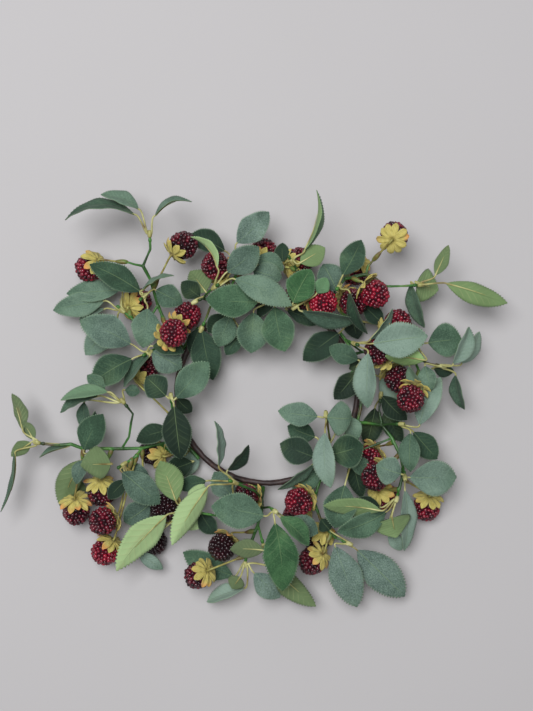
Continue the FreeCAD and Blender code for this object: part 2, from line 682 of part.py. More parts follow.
def binding_points(spray):
    """The stem's start, laid along the outside of the ring."""
    reach = (size("ring_diameter") + size("ring_thickness") + size("stem_thickness")) / 2
    reach = reach + size("fit_gap")
    points = []
    for k in (2, 1, 0):
        turn = math.radians(spray["root"] - spray["way"] * binding_degrees * k / 2)
        points.append(Vector(reach * math.cos(turn), reach * math.sin(turn),
                             size("ring_height")))
    return points


def leaf_of(row):
    foot_x, foot_y, tip_x, tip_y, width_px, foot_share, tip_share, roll, arch = row
    foot = place(foot_x, foot_y, foot_share)
    reach = place(tip_x, tip_y, tip_share) - foot
    return {
        "foot": foot,
        "tip": foot + reach * (length_scale / plan_scale),
        "length_px": math.hypot(tip_x - foot_x, tip_y - foot_y),
        "width": width_px * width_scale / abs(math.cos(math.radians(roll))),
        "roll": roll,
        "arch": arch,
    }


def petiole_seat(leaf):
    """The point under the blade, just past its foot, where the petiole ends."""
    along, right, upper = leaf_axes(leaf["foot"], leaf["tip"], leaf["roll"])
    length = (leaf["tip"] - leaf["foot"]).Length
    bend = 4 * petiole_seat_share * (1 - petiole_seat_share) * leaf["arch"] * length
    drop = size("blade_thickness") / 2 + size("petiole_thickness") / 2
    return leaf["foot"] + along * (petiole_seat_share * length) + upper * (bend - drop)


def sprig_frame(label, start, direction, leaves):
    """One moulding: a collar for the peg with a petiole to each leaf."""
    collar = prism(label + "_collar", collar_sides, "Sizes.collar_thickness / 2",
                   "Sizes.collar_length", start, direction)
    wall = (size("collar_thickness") + size("peg_thickness")) / 4
    middle = start + direction * (size("collar_length") / 2)
    petioles = []
    for k, leaf in enumerate(leaves):
        seat = petiole_seat(leaf)
        outward = seat - middle
        outward = (outward - direction * outward.dot(direction)).normalize()
        points = [middle + outward * wall, seat]
        petioles.append(faceted(f"{label}_petiole_{k}",
                                rod(points, size("petiole_thickness"), petiole_sides)))
    moulding = doc.addObject("Part::MultiFuse", label + "_moulding")
    moulding.Shapes = [collar] + petioles
    bore = prism(label + "_bore", peg_sides,
                 "Sizes.peg_thickness / 2 + Sizes.fit_gap",
                 "Sizes.collar_length + 2 * Sizes.peg_reach",
                 start - direction * size("peg_reach"), direction)
    frame = doc.addObject("Part::Cut", label)
    frame.Base = moulding
    frame.Tool = bore
    return frame


def berry_set(label, row, rests, lines):
    """A berry with its calyx, its stalk and the socket that the stalk is plugged in."""
    middle_px, hub_px, hub_side, base_px = row
    middle = place(*middle_px)
    level = place(hub_px[0], hub_px[1], middle_px[2]) - middle
    half = size("berry_length") / 2
    level_length = min(level.Length, half)
    lift = math.sqrt(half * half - level_length * level_length)
    towards_hub = level.normalize() * level_length + Vector(0, 0, hub_side * lift)
    direction = (towards_hub * -1).normalize()
    hub = middle - direction * half
    if rests:
        hub.z -= berry_body(hub, direction).BoundBox.ZMin
    base = nearest_on(lines, *base_px)
    calyx_hub = hub - direction * size("soft_gap")
    stalk_end = calyx_hub - direction * size("calyx_thickness")
    run = (stalk_end - base).normalize()
    socket = prism(label + "_socket", socket_sides, "Sizes.socket_thickness / 2",
                   "Sizes.socket_length", base, run)
    stalk_start = base + run * size("socket_length")
    stalk = faceted(label + "_stalk", rod([stalk_start, stalk_end],
                                          size("stalk_thickness"), stalk_sides))
    body = faceted(label + "_body", berry_body(hub, direction))
    calyx = faceted(label + "_calyx", calyx_star(calyx_hub, direction))
    return body, calyx, stalk, socket


nodes = [ring_wire, ring_tape]
for name, spray in sprays.items():
    stem_points = binding_points(spray) + [place(*point) for point in spray["stem"]]
    stem_parts = [faceted(name + "_main_stem",
                          rod(stem_points, size("stem_thickness"), stem_sides))]
    lines = [stem_points]
    for k, path in enumerate(spray.get("twigs", [])):
        points = [nearest_on([stem_points], *path[0])] + [place(*point) for point in path[1:]]
        lines.append(points)
        stem_parts.append(faceted(f"{name}_twig_{k}",
                                  rod(points, size("branch_thickness"), branch_sides)))
    frames, blades = [], []
    for k, (path, rows) in enumerate(spray["sprigs"]):
        label = f"{name}_sprig_{k}"
        points = [nearest_on([stem_points], *path[0])] + [place(*point) for point in path[1:]]
        lines.append(points)
        direction = (points[-1] - points[-2]).normalize()
        stem_parts.append(faceted(label + "_branch",
                                  rod(points, size("branch_thickness"), branch_sides)))
        stem_parts.append(prism(label + "_peg", peg_sides, "Sizes.peg_thickness / 2",
                                "Sizes.collar_length + Sizes.peg_reach",
                                points[-1], direction))
        leaves = [leaf_of(row) for row in rows]
        frames.append(sprig_frame(label, points[-1], direction, leaves))
        for j, leaf in enumerate(leaves):
            blades.append(faceted(f"{label}_leaf_{j}", leaf_blade(leaf)))
    berries, calyxes, stalks = [], [], []
    rows = [(row, False) for row in spray["berries"]]
    rows += [(row, True) for row in spray["resting"]]
    for k, (row, rests) in enumerate(rows):
        body, calyx, stalk, socket = berry_set(f"{name}_berry_{k}", row, rests, lines)
        berries.append(body)
        calyxes.append(calyx)
        stalks.append(stalk)
        stem_parts.append(socket)
    nodes.append(moulded("stem_" + name, stem_parts))
    nodes.append(joined("sprig_frames_" + name, frames))
    nodes.append(joined("leaves_" + name, blades))
    nodes.append(joined("berries_" + name, berries))
    nodes.append(joined("calyxes_" + name, calyxes))
    nodes.append(joined("stalks_" + name, stalks))

doc.recompute()

for part in doc.Objects:
    if "Invalid" in part.State or "Error" in part.State:
        raise RuntimeError(f"{part.Label} did not build: {part.State}")
for node in nodes:
    if node.Shape.isNull() or not node.Shape.isValid():
        raise RuntimeError(f"{node.Label} has no valid shape")

os.makedirs("parts", exist_ok=True)
for node in nodes:
    node.Shape.exportStep(f"parts/{node.Label}.step")
    print(node.Label, len(node.Shape.Solids), round(node.Shape.BoundBox.ZMin, 2),
          round(node.Shape.BoundBox.ZMax, 2))
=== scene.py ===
import math
from itertools import permutations

import bpy
import numpy as np
from mathutils import Matrix, Vector


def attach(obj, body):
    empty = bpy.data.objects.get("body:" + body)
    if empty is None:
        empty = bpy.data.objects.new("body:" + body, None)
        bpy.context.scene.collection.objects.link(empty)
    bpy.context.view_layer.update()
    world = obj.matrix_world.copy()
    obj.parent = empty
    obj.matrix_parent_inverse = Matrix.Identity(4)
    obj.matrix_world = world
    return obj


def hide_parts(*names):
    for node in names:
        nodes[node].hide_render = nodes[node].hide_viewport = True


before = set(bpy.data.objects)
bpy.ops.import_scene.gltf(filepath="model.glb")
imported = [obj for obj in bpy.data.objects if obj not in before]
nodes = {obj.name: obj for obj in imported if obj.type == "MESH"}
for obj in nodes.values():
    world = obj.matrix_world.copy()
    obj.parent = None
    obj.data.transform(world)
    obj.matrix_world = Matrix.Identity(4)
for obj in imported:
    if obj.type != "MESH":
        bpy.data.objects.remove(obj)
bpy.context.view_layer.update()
chance = np.random.default_rng(7)

sprayNames = ["upper_left", "top", "upper_right", "right", "lower_right", "bottom", "lower_left", "left"]

# Camera: straight above, on the photograph's axis

viewSettings = {
    "place": (-0.000325, 0.024375, 0.712),
    "lens": 54.53,
    "sensor": 36,
    "clip": (0.05, 20),
    "metresPerPixel": 0.00065,   # on the ring's level
    "ringLevel": 0.012,
    "middlePixel": (266.5, 355.5),
}

cameraData = bpy.data.cameras.new("photoCamera")
cameraData.lens = viewSettings["lens"]
cameraData.sensor_width = viewSettings["sensor"]
cameraData.clip_start, cameraData.clip_end = viewSettings["clip"]
camera = bpy.data.objects.new("photoCamera", cameraData)
camera.location = viewSettings["place"]
bpy.context.scene.collection.objects.link(camera)
bpy.context.scene.camera = camera


# Where the camera sees a point
def pixelOf(point):
    x, y, height = viewSettings["place"]
    scale = viewSettings["metresPerPixel"] * (height - point[2]) / (height - viewSettings["ringLevel"])
    across, down = viewSettings["middlePixel"]
    return np.array((across + (point[0] - x) / scale, down - (point[1] - y) / scale))


print("camera placed")


# An sRGB colour of 0 to 255 as Blender's linear one
def paint(red, green, blue):
    return tuple(((c / 255 + 0.055) / 1.055) ** 2.4 if c > 10 else c / 255 / 12.92
                 for c in (red, green, blue))


# Shader helper: an expression on threads adds the Math nodes

class Thread:
    def __init__(self, finish, socket):
        self.finish = finish
        self.socket = socket

    def sum(self, operation, *values):
        return self.finish.node("ShaderNodeMath", {"operation": operation}, values)

    def __add__(self, other):
        return self.sum("ADD", self, other)

    def __radd__(self, other):
        return self.sum("ADD", other, self)

    def __sub__(self, other):
        return self.sum("SUBTRACT", self, other)

    def __rsub__(self, other):
        return self.sum("SUBTRACT", other, self)

    def __mul__(self, other):
        return self.sum("MULTIPLY", self, other)

    def __rmul__(self, other):
        return self.sum("MULTIPLY", other, self)

    def __pow__(self, other):
        return self.sum("POWER", self, other)

    def __abs__(self):
        return self.sum("ABSOLUTE", self)

    def share(self):
        return self.sum("FRACT", self)

    # 0 below low, 1 above high, and smooth between
    def step(self, low, high):
        return self.finish.node("ShaderNodeMapRange", {"interpolation_type": "SMOOTHSTEP"},
                                {0: self, 1: low, 2: high, 3: 0.0, 4: 1.0})

    def other(self, name):
        return Thread(self.finish, self.socket.node.outputs[name])


# A material, with the nodes that feed its shader. Colours are sRGB, 0 to 255.
class Finish:
    def __init__(self, name, **fixed):
        self.material = bpy.data.materials.new(name)
        self.material.use_nodes = True
        self.tree = self.material.node_tree
        self.shader = self.tree.nodes["Principled BSDF"]
        for socketName, value in fixed.items():
            self.shader.inputs[socketName.replace("_", " ")].default_value = value

    def node(self, kind, settings, sockets):
        made = self.tree.nodes.new(kind)
        for key, value in settings.items():
            if key == "stops":
                elements = made.color_ramp.elements
                while len(elements) < len(value):
                    elements.new(0.5)
                for element, (place, colour) in zip(elements, value):
                    element.position = place
                    element.color = (*paint(*colour), 1)
            else:
                setattr(made, key, value)
        named = dict(enumerate(sockets)) if isinstance(sockets, tuple) else sockets
        for key, value in named.items():
            if isinstance(value, Thread):
                self.tree.links.new(value.socket, made.inputs[key])
            elif isinstance(value, tuple):
                made.inputs[key].default_value = (*paint(*value), 1)
            else:
                made.inputs[key].default_value = value
        return Thread(self, next(s for s in made.outputs if s.enabled))

    def mix(self, factor, first, second):
        return self.node("ShaderNodeMix", {"data_type": "RGBA"}, {0: factor, 6: first, 7: second})

    def ramp(self, factor, stops):
        return self.node("ShaderNodeValToRGB", {"stops": stops}, {0: factor})

    def noise(self, scale, detail=2.0, rough=0.5):
        where = self.node("ShaderNodeTexCoord", {}, {}).other("Object")
        return self.node("ShaderNodeTexNoise", {}, {"Vector": where, "Scale": scale, "Detail": detail,
                                                    "Roughness": rough}).other("Fac")

    def mark(self, name):
        return self.node("ShaderNodeAttribute", {"attribute_name": name}, {}).other("Fac")

    # Along and across the piece's own UV map
    def uvPlace(self):
        uvMap = self.node("ShaderNodeUVMap", {"uv_map": "UVMap"}, {})
        place = self.node("ShaderNodeSeparateXYZ", {}, {0: uvMap})
        return place.other("X"), place.other("Y")

    def feed(self, socketName, thread):
        self.tree.links.new(thread.socket, self.shader.inputs[socketName])

    # The least roughness, and what each thread adds
    def rough(self, shares, *threads):
        least, *more = shares
        for share, thread in zip(more, threads):
            least = least + thread * share
        self.feed("Roughness", least)

    def bump(self, height, strength, distance):
        relief = self.node("ShaderNodeBump", {}, {"Height": height, "Strength": strength,
                                                  "Distance": distance})
        self.feed("Normal", relief)


# Mesh helpers

def deselect():
    if bpy.context.object and bpy.context.object.mode != "OBJECT":
        bpy.ops.object.mode_set(mode="OBJECT")
    bpy.ops.object.select_all(action="DESELECT")


def activate(piece):
    deselect()
    piece.select_set(True)
    bpy.context.view_layer.objects.active = piece


def editAll():
    bpy.ops.object.mode_set(mode="EDIT")
    bpy.ops.mesh.select_all(action="SELECT")


def finishModifiers(piece):
    activate(piece)
    for modifier in list(piece.modifiers):
        bpy.ops.object.modifier_apply(modifier=modifier.name)


def pointsOf(piece):
    found = np.empty(len(piece.data.vertices) * 3)
    piece.data.vertices.foreach_get("co", found)
    return found.reshape(-1, 3)


# Each solid of a CAD node: its corners, merged, and its triangles
def solidsOf(nodeName):
    mesh = nodes[nodeName].data
    keys, back = {}, []
    for corner in np.round(pointsOf(nodes[nodeName]), 7):
        back.append(keys.setdefault(tuple(corner), len(keys)))
    merged = np.array(list(keys))
    triangles = [[back[v] for v in face.vertices] for face in mesh.polygons]
    leader = list(range(len(merged)))

    def lead(k):
        while leader[k] != k:
            leader[k] = leader[leader[k]]
            k = leader[k]
        return k

    for triangle in triangles:
        for other in triangle[1:]:
            leader[lead(triangle[0])] = lead(other)
    groups = {}
    for k in range(len(merged)):
        groups.setdefault(lead(k), []).append(k)
    solids = []
    for members in groups.values():
        number = {k: n for n, k in enumerate(members)}
        own = [[number[v] for v in t] for t in triangles if t[0] in number]
        solids.append((merged[members], np.array(own)))
    return solids


def cornersOf(nodeName):
    return [corners for corners, triangles in solidsOf(nodeName)]


def unit(vector):
    return vector / np.linalg.norm(vector)


# The least distance of any point of a set from a place
def nearest(points, place):
    return np.linalg.norm(points - place, axis=1).min()


# The points and the faces of a pattern piece, which is then deleted
def takeMesh(pattern):
    points = pointsOf(pattern)
    faces = [tuple(face.vertices) for face in pattern.data.polygons]
    bpy.data.objects.remove(pattern)
    return points, faces


# The faces of a number of copies that have a count of points each
def repeatFaces(faces, count, copies):
    return [tuple(v + k * count for v in face) for k in range(copies) for face in faces]


# One piece made of copies of a pattern: pointSets holds the points of each copy
def copiesPiece(name, faces, pointSets, marks=None, uv=None):
    mesh = bpy.data.meshes.new(name)
    mesh.from_pydata(np.concatenate(pointSets).tolist(), [],
                     repeatFaces(faces, len(pointSets[0]), len(pointSets)))
    for markName, values in (marks or {}).items():
        layer = mesh.attributes.new(markName, "FLOAT", "POINT")
        layer.data.foreach_set("value", np.asarray(values, dtype=np.float32))
    if uv is not None:
        layer = mesh.uv_layers.new(name="UVMap")
        corners = np.empty(len(mesh.loops), dtype=np.int32)
        mesh.loops.foreach_get("vertex_index", corners)
        layer.data.foreach_set("uv", np.tile(uv, (len(pointSets), 1))[corners].ravel())
    mesh.polygons.foreach_set("use_smooth", [True] * len(mesh.polygons))
    mesh.update()
    piece = bpy.data.objects.new(name, mesh)
    bpy.context.scene.collection.objects.link(piece)
    return piece


# A form turned round Z from rings of (height, radius), closed at both ends: its points and faces
def turnedPattern(profile, sides):
    deselect()
    bpy.ops.mesh.primitive_circle_add(vertices=sides, radius=profile[0][1], fill_type="NGON",
                                      location=(0, 0, profile[0][0]))
    piece = bpy.context.object
    editAll()
    for (low, nearRadius), (high, farRadius) in zip(profile, profile[1:]):
        bpy.ops.mesh.extrude_region_move(TRANSFORM_OT_translate={"value": (0, 0, high - low)})
        scale = farRadius / nearRadius
        bpy.ops.transform.resize(value=(scale, scale, 1))
    bpy.ops.mesh.select_all(action="SELECT")
    bpy.ops.mesh.normals_make_consistent(inside=False)
    bpy.ops.object.mode_set(mode="OBJECT")
    bpy.ops.object.transform_apply(location=True, rotation=True, scale=True)
    return takeMesh(piece)


# A thin sheet along X, with the grid, outline and thickness of its settings: its points and faces.
# bend gives x and y from the shares along and across the sheet and from the outline's width.
def sheetPattern(look, bend):
    deselect()
    bpy.ops.mesh.primitive_grid_add(x_subdivisions=look["columns"], y_subdivisions=look["rows"], size=1,
                                    location=(0, 0, 0))
    piece = bpy.context.object
    points = pointsOf(piece)
    along = points[:, 0] + 0.5
    across = points[:, 1] * 2
    x, y = bend(look, along, across, np.interp(along, *zip(*look["outline"])))
    piece.data.vertices.foreach_set("co", np.stack([x, y, np.zeros(len(x))], axis=1).ravel())
    thick = piece.modifiers.new("thickness", "SOLIDIFY")
    thick.thickness = look["thickness"]
    thick.offset = 0
    finishModifiers(piece)
    return takeMesh(piece)


# Points of a pattern that stands on the origin along Z, put at start along direction
def standAt(start, direction, points):
    turn = np.array(Vector((0, 0, 1)).rotation_difference(Vector(direction)).to_matrix())
    return points @ turn.T + start


# Round tubes on smooth lines: each path is a list of (point, radius)
def tubes(name, paths):
    curve = bpy.data.curves.new(name, "CURVE")
    curve.dimensions = "3D"
    curve.bevel_depth = 1.0   # so that a point's radius is the tube's
    curve.bevel_resolution = 2
    curve.use_fill_caps = True
    for path in paths:
        spline = curve.splines.new("NURBS")
        spline.points.add(len(path) - 1)
        for point, (place, radius) in zip(spline.points, path):
            point.co = (*place, 1)
            point.radius = radius
        spline.use_endpoint_u = True
        spline.order_u = 3
        spline.resolution_u = 4
    piece = bpy.data.objects.new(name, curve)
    bpy.context.scene.collection.objects.link(piece)
    activate(piece)
    bpy.ops.object.convert(target="MESH")
    piece = bpy.context.object
    bpy.ops.object.shade_smooth()
    return piece


# What one copy draws for itself, from the spans of its settings and in their order
def drawn(spans):
    return {name: chance.uniform(*span) for name, span in spans.items()}


nearlyTurn = 6.28   # random phases and spins stay within this, a little under 2 pi


# Leaves: one toothed blade, bent on to the midrib of each CAD blade

leafSettings = {
    "length": 0.0442,
    "halfWidth": 0.01105,
    "thickness": 0.00042,
    "columns": 48,
    "rows": 8,
    "tooth": 0.072,               # share of the half width
    "notch": 0.6,                 # share of the tooth
    "toothLean": 0.25,
    "outline": [(0, 0.03), (0.03, 0.16), (0.08, 0.36), (0.17, 0.62), (0.3, 0.88), (0.42, 1.0), (0.54, 1.0),
                (0.65, 0.91), (0.75, 0.76), (0.84, 0.55), (0.91, 0.34), (0.96, 0.16), (1.0, 0.01)],
    "leastWidth": 0.02,           # keeps the edge mark small at foot and tip
    # shares of the length where a long and a short CAD blade have their corners, and are widest
    "stations": [[0.14, 0.42, 0.67, 0.88], [0.17, 0.5, 0.82]],
    "widest": [0.42, 0.5],
    "fold": math.radians(14),
    "softFold": 0.1,              # how much of the half width the bottom of the fold's V takes
    "droopFrom": 0.6,
    "narrowFrom": 0.45,
    "bends": {                    # drawn for each leaf
        "twist": (-0.12, 0.12),
        "sway": (-0.035, 0.035),
        "wave": (0.0001, 0.0004),
        "waves": (1.6, 3.2),
        "phase": (0, nearlyTurn),
        "cup": (-0.1, 0.2),
        "droop": (-0.03, 0.05),
        "narrowing": (-0.05, 0.3),
        "foldShare": (0.8, 1.9),
    },
    "tipReach": 7.0,              # pixels from a leaf's tip to its place in leafTones
    "toneSpread": 0.07,
}

# Colour of single leaves, found by the pixel of the tip. Leaves not named here are "mid".
leafTones = {
    # The darkest tone and the shaded one are painted shade: leaves that lie in shadow under other leaves
    # are given a darker colour.
    "paintedShadow": [(181.5, 282), (192, 412), (358, 339), (334.5, 399.5), (208, 332), (366, 446), (349, 369),
              (362, 498), (108, 499), (403, 442), (419.4, 419), (407, 420), (166, 470), (354, 501),
              (180.5, 459.5)],
    "dark": [(189.5, 235), (282.5, 243), (367.3, 334), (190, 353), (257, 318), (322, 324),
             (364, 306), (303, 360.5), (454, 371.3), (414, 412), (136, 441), (249.3, 445.3), (215, 534),
             (280, 443.5), (146, 377), (321, 519)],
    "shaded": [(89.6, 264.3), (226, 355), (287.4, 426), (213, 380), (363.5, 445.5), (103, 414), (92, 384),
               (361.3, 240), (437, 459), (176, 486), (95.5, 411.5)],
    "teal": [(259, 247), (323, 264), (124, 522), (318, 533), (78, 482), (76, 484), (118, 466), (282, 278),
             (214, 472), (160, 504)],
    "sage": [(456.7, 477), (376, 465), (182, 368), (85.7, 355), (79.3, 320.4)],
    "glaucous": [(391.8, 308.2), (427.5, 336), (366.5, 408.5), (470, 327), (398.5, 400), (216.6, 421),
                 (330, 488.3), (404.5, 551), (163, 569), (440.8, 377), (187, 476)],
    "silver": [(206.8, 602), (479.5, 331.5)],
    "speckled": [(269, 212), (280, 598), (357, 607.5), (405.5, 597)],
    "light": [(292, 305.5), (278, 410.8), (352, 418), (173.6, 275), (191.4, 201), (143, 348), (66, 293),
              (431.5, 390), (423, 396), (53.2, 310.4), (357, 440), (100.7, 195.5)],
    "fresh": [(311, 269), (309.7, 545.2), (282.7, 590.8)],
    "mossy": [(285, 351.5), (205.5, 298.5)],
    "freshLight": [(327, 278)],
    "olive": [(318.4, 190.4), (60.8, 400.5)],
    "paleUnder": [(116.3, 569.4), (171.8, 545.3), (190.7, 237), (204, 484), (201, 528)],
    "freshUnder": [(385, 356)],
    "grassUnder": [(323.5, 506.5), (506.5, 303.5), (325, 247.5), (438, 290), (160, 461), (396, 537)],
}
# Lightness of the upper side, blue bloom, specks, green warmth, lightness of the underside
toneValues = {
    "mid": (0.46, 0.25, 0.0, 0.12, 0.16),
    # painted shadow: the darkest colour, for leaves in shadow under others
    "paintedShadow": (-0.24, 0.02, 0.0, 0.1, 0.0),
    "dark": (0.03, 0.08, 0.0, 0.12, 0.1),
    # painted shade, lighter than the darkest tone, for leaves in shadow
    "shaded": (0.24, 0.14, 0.0, 0.16, 0.1),
    "teal": (0.42, 0.55, 0.0, 0.0, 0.2),
    "sage": (0.58, 0.68, 0.0, 0.0, 0.3),
    "glaucous": (0.78, 0.85, 0.1, 0.0, 0.5),
    "silver": (1.05, 0.85, 0.1, 0.0, 0.6),
    "speckled": (0.5, 0.7, 0.6, 0.0, 0.4),
    "light": (0.66, 0.42, 0.0, 0.1, 0.4),
    "fresh": (0.5, 0.0, 0.0, 0.8, 0.4),
    "mossy": (0.46, 0.12, 0.0, 0.42, 0.3),
    "freshLight": (0.9, 0.1, 0.0, 0.7, 0.4),
    "olive": (1.0, 0.0, 0.0, 0.35, 0.6),
    "paleUnder": (0.6, 0.4, 0.0, 0.1, 1.1),
    "freshUnder": (0.6, 0.2, 0.0, 0.7, 0.7),
    "grassUnder": (0.6, 0.2, 0.0, 0.3, 0.42),
}
toneMarks = ["tone", "bloom", "specks", "warmth", "pale"]


# The flat blade from its foot at the origin, toothed at the edge, less near its ends
def toothedBlade(look, along, across, width):
    column = np.round(along * look["columns"]).astype(int)
    tooth = np.where(column % 2 == 1, 1.0, -look["notch"]) * look["tooth"]
    tooth = tooth * np.clip(width * 3, 0, 1) * (np.abs(across) > 0.99)
    x = (along + np.maximum(tooth, 0) * look["toothLean"]) * look["length"]
    return x, across * (width + tooth) * look["halfWidth"]


# Foot, tip and stations of a CAD blade, by the shares that its corners have on the midrib
def stationsOf(corners):
    best = None
    for shares, widest in zip(leafSettings["stations"], leafSettings["widest"]):
        if len(corners) != 4 * len(shares) + 2:
            continue
        wanted = np.repeat(shares, 4)
        for a, b in permutations(range(len(corners)), 2):
            chord = corners[b] - corners[a]
            rest = [k for k in range(len(corners)) if k not in (a, b)]
            places = (corners[rest] - corners[a]) @ chord / (chord @ chord)
            order = np.argsort(places)
            error = np.abs(places[order] - wanted).max()
            if best is None or error < best[0]:
                best = (error, a, b, [rest[k] for k in order], shares, widest)
    return best


# 1 at the middle of a length and 0 at both ends
def bow(share):
    return 4 * share * (1 - share)


# The blade's own frame: foot, tip, upper direction, width and arch
def bladeOf(corners):
    error, a, b, ordered, shares, widest = stationsOf(corners)
    foot, tip = corners[a], corners[b]
    length = np.linalg.norm(tip - foot)
    along = (tip - foot) / length
    k = shares.index(widest)
    station = corners[ordered[4 * k:4 * k + 4]]
    gaps = [(np.linalg.norm(station[i] - station[j]), i, j) for i in range(4) for j in range(i)]
    width, i, j = max(gaps)
    middle = station[[n for n in range(4) if n not in (i, j)]].mean(axis=0)
    sides = (station[i] + station[j]) / 2
    upper = unit(sides - middle)
    upper = unit(upper - along * (upper @ along))
    arch = (middle - foot) @ upper / (bow(widest) * length)
    return {"foot": foot, "tip": tip, "along": along, "upper": upper, "right": np.cross(along, upper),
            "length": length, "half": width / 2, "arch": arch, "error": error}


# The point of the midrib at a share of the length
def onBlade(blade, share):
    raised = bow(share) * blade["arch"] * blade["length"]
    return blade["foot"] + blade["along"] * (share * blade["length"]) + blade["upper"] * raised


# The pattern's points laid on a blade, each leaf with a little of its own shape
def bentLeaf(blade, points):
    look = leafSettings
    own = drawn(look["bends"])
    length, half, arch = blade["length"], blade["half"], blade["arch"]
    share = points[:, 0] / look["length"]
    across = points[:, 1] / look["halfWidth"]
    deep = points[:, 2]
    late = np.clip((share - look["narrowFrom"]) / (1 - look["narrowFrom"]), 0, 1)
    last = np.clip((share - look["droopFrom"]) / (1 - look["droopFrom"]), 0, 1)
    side = across * half * (1 - own["narrowing"] * late * (1 - late) * 2)
    # a V with a soft bottom, a cup across, a wave that grows to the edge, the CAD arch, a drooping tip
    soft = np.sqrt(across ** 2 + look["softFold"] ** 2) - look["softFold"]
    raised = soft * half * math.tan(look["fold"] * own["foldShare"]) - own["cup"] * across ** 2 * half
    ripple = np.sin(share * own["waves"] * nearlyTurn + own["phase"] + across)
    raised = raised + own["wave"] * ripple * np.abs(across)
    raised = raised + bow(share) * arch * length - own["droop"] * length * last ** 2
    twist = own["twist"] * share
    raised = raised + side * np.sin(twist)
    side = side * np.cos(twist) + own["sway"] * bow(share) * length
    slope = 4 * (1 - 2 * share) * arch
    return (blade["foot"] + np.outer(share * length - deep * slope, blade["along"])
            + np.outer(side, blade["right"]) + np.outer(raised + deep, blade["upper"]))


def toneOf(blade):
    tip = pixelOf(blade["tip"])
    best, tone = leafSettings["tipReach"], "mid"
    for name, places in leafTones.items():
        for place in places:
            away = np.linalg.norm(tip - place)
            if away < best:
                best, tone = away, name
    spread = leafSettings["toneSpread"]
    return np.array(toneValues[tone]) + chance.uniform(-spread, spread, len(toneMarks))


leafPoints, leafFaces = sheetPattern(leafSettings, toothedBlade)
patternShare = leafPoints[:, 0] / leafSettings["length"]
patternAcross = leafPoints[:, 1] / leafSettings["halfWidth"]
patternWidth = np.interp(patternShare, *zip(*leafSettings["outline"]))
patternEdge = np.abs(patternAcross) / np.maximum(patternWidth, leafSettings["leastWidth"])
patternUnder = (leafPoints[:, 2] < 0).astype(float)
leafUv = np.stack([patternShare, patternAcross / 2 + 0.5], axis=1)

blades, leafPieces = {}, {}
for spray in sprayNames:
    blades[spray] = [bladeOf(corners) for corners in cornersOf("leaves_" + spray)]
    sets, tones = [], []
    for blade in blades[spray]:
        sets.append(bentLeaf(blade, leafPoints))
        tones.append(np.tile(toneOf(blade), (len(leafPoints), 1)))
    marks = {"edge": np.tile(patternEdge, len(sets)), "under": np.tile(patternUnder, len(sets))}
    for name, values in zip(toneMarks, np.concatenate(tones).T):
        marks[name] = values
    leafPieces[spray] = copiesPiece("leafBlades_" + spray, leafFaces, sets, marks, leafUv)
print("leaves bent:", sum(len(b) for b in blades.values()),
      "worst fit", max(blade["error"] for b in blades.values() for blade in b))


# Sprig frames: a sleeve on each peg and a petiole that arches to each leaf and runs on under it

sprigSettings = {
    "pegLength": 0.0068,
    "pegTolerance": 0.00002,
    "pegAcross": 0.0021,          # the most that two edges of a peg lie apart
    "parallel": 1e-5,
    "collarMiddle": 0.0023,       # up the peg
    "sleeve": [(0.0, 0.00105), (0.0006, 0.00125), (0.0024, 0.00145), (0.0038, 0.0014), (0.0046, 0.001)],
    "sleeveSides": 14,
    "pegTip": [(0.0044, 0.0007), (0.0056, 0.00105), (0.0066, 0.0012), (0.0073, 0.00095), (0.0076, 0.0004)],
    "pegTipSides": 10,
    "seat": (0.1, 0.0009),        # the CAD petiole's end under a blade: share of the length, depth
    "petioleRadius": 0.00053,
    # points of a petiole: up the peg, outwards from it, share of the radius
    "inCollar": (0.0012, 0.0009, 1.25),
    "collarTop": (0.0042, 0.0013, 1.3),
    "bow": (0.0046, 0.003, 1.1),
    "bowFrom": 0.007,             # how far up the peg a leaf's foot is at least, where there is a bow
    "rise": 0.0016,
    "beforeFoot": (0.0022, 0.0002),   # back along the blade, and down
    "midribShares": [0.03, 0.16, 0.3, 0.45, 0.62],
    "midribDepth": 0.0003,
    "midribEnd": 0.00012,
}


# The pegs of a stem, as (start, direction): four parallel edges of the peg's own length
def pegsOf(nodeName):
    look = sprigSettings
    found = []
    for corners, triangles in solidsOf(nodeName):
        edges = {tuple(sorted((t[i], t[(i + 1) % 3]))) for t in triangles.tolist() for i in range(3)}
        uses = np.bincount(triangles.ravel(), minlength=len(corners))
        longEdges = []
        for a, b in edges:
            length = np.linalg.norm(corners[b] - corners[a])
            if abs(length - look["pegLength"]) < look["pegTolerance"]:
                longEdges.append((a, b))
        while longEdges:
            a, b = longEdges.pop(0)
            direction = unit(corners[b] - corners[a])
            starts, ends, others = [a], [b], []
            for edge in longEdges:
                c, d = edge
                if (corners[d] - corners[c]) @ direction < 0:
                    c, d = d, c
                straight = unit(corners[d] - corners[c]) @ direction > 1 - look["parallel"]
                if straight and np.linalg.norm(corners[c] - corners[a]) < look["pegAcross"]:
                    starts.append(c)
                    ends.append(d)
                else:
                    others.append(edge)
            if len(starts) != 4:
                continue
            longEdges = others
            # more triangles meet at the foot, where the peg joins the stem
            if uses[starts].sum() < uses[ends].sum():
                starts, ends = ends, starts
            start, end = corners[starts].mean(axis=0), corners[ends].mean(axis=0)
            found.append((start, unit(end - start)))
    return found


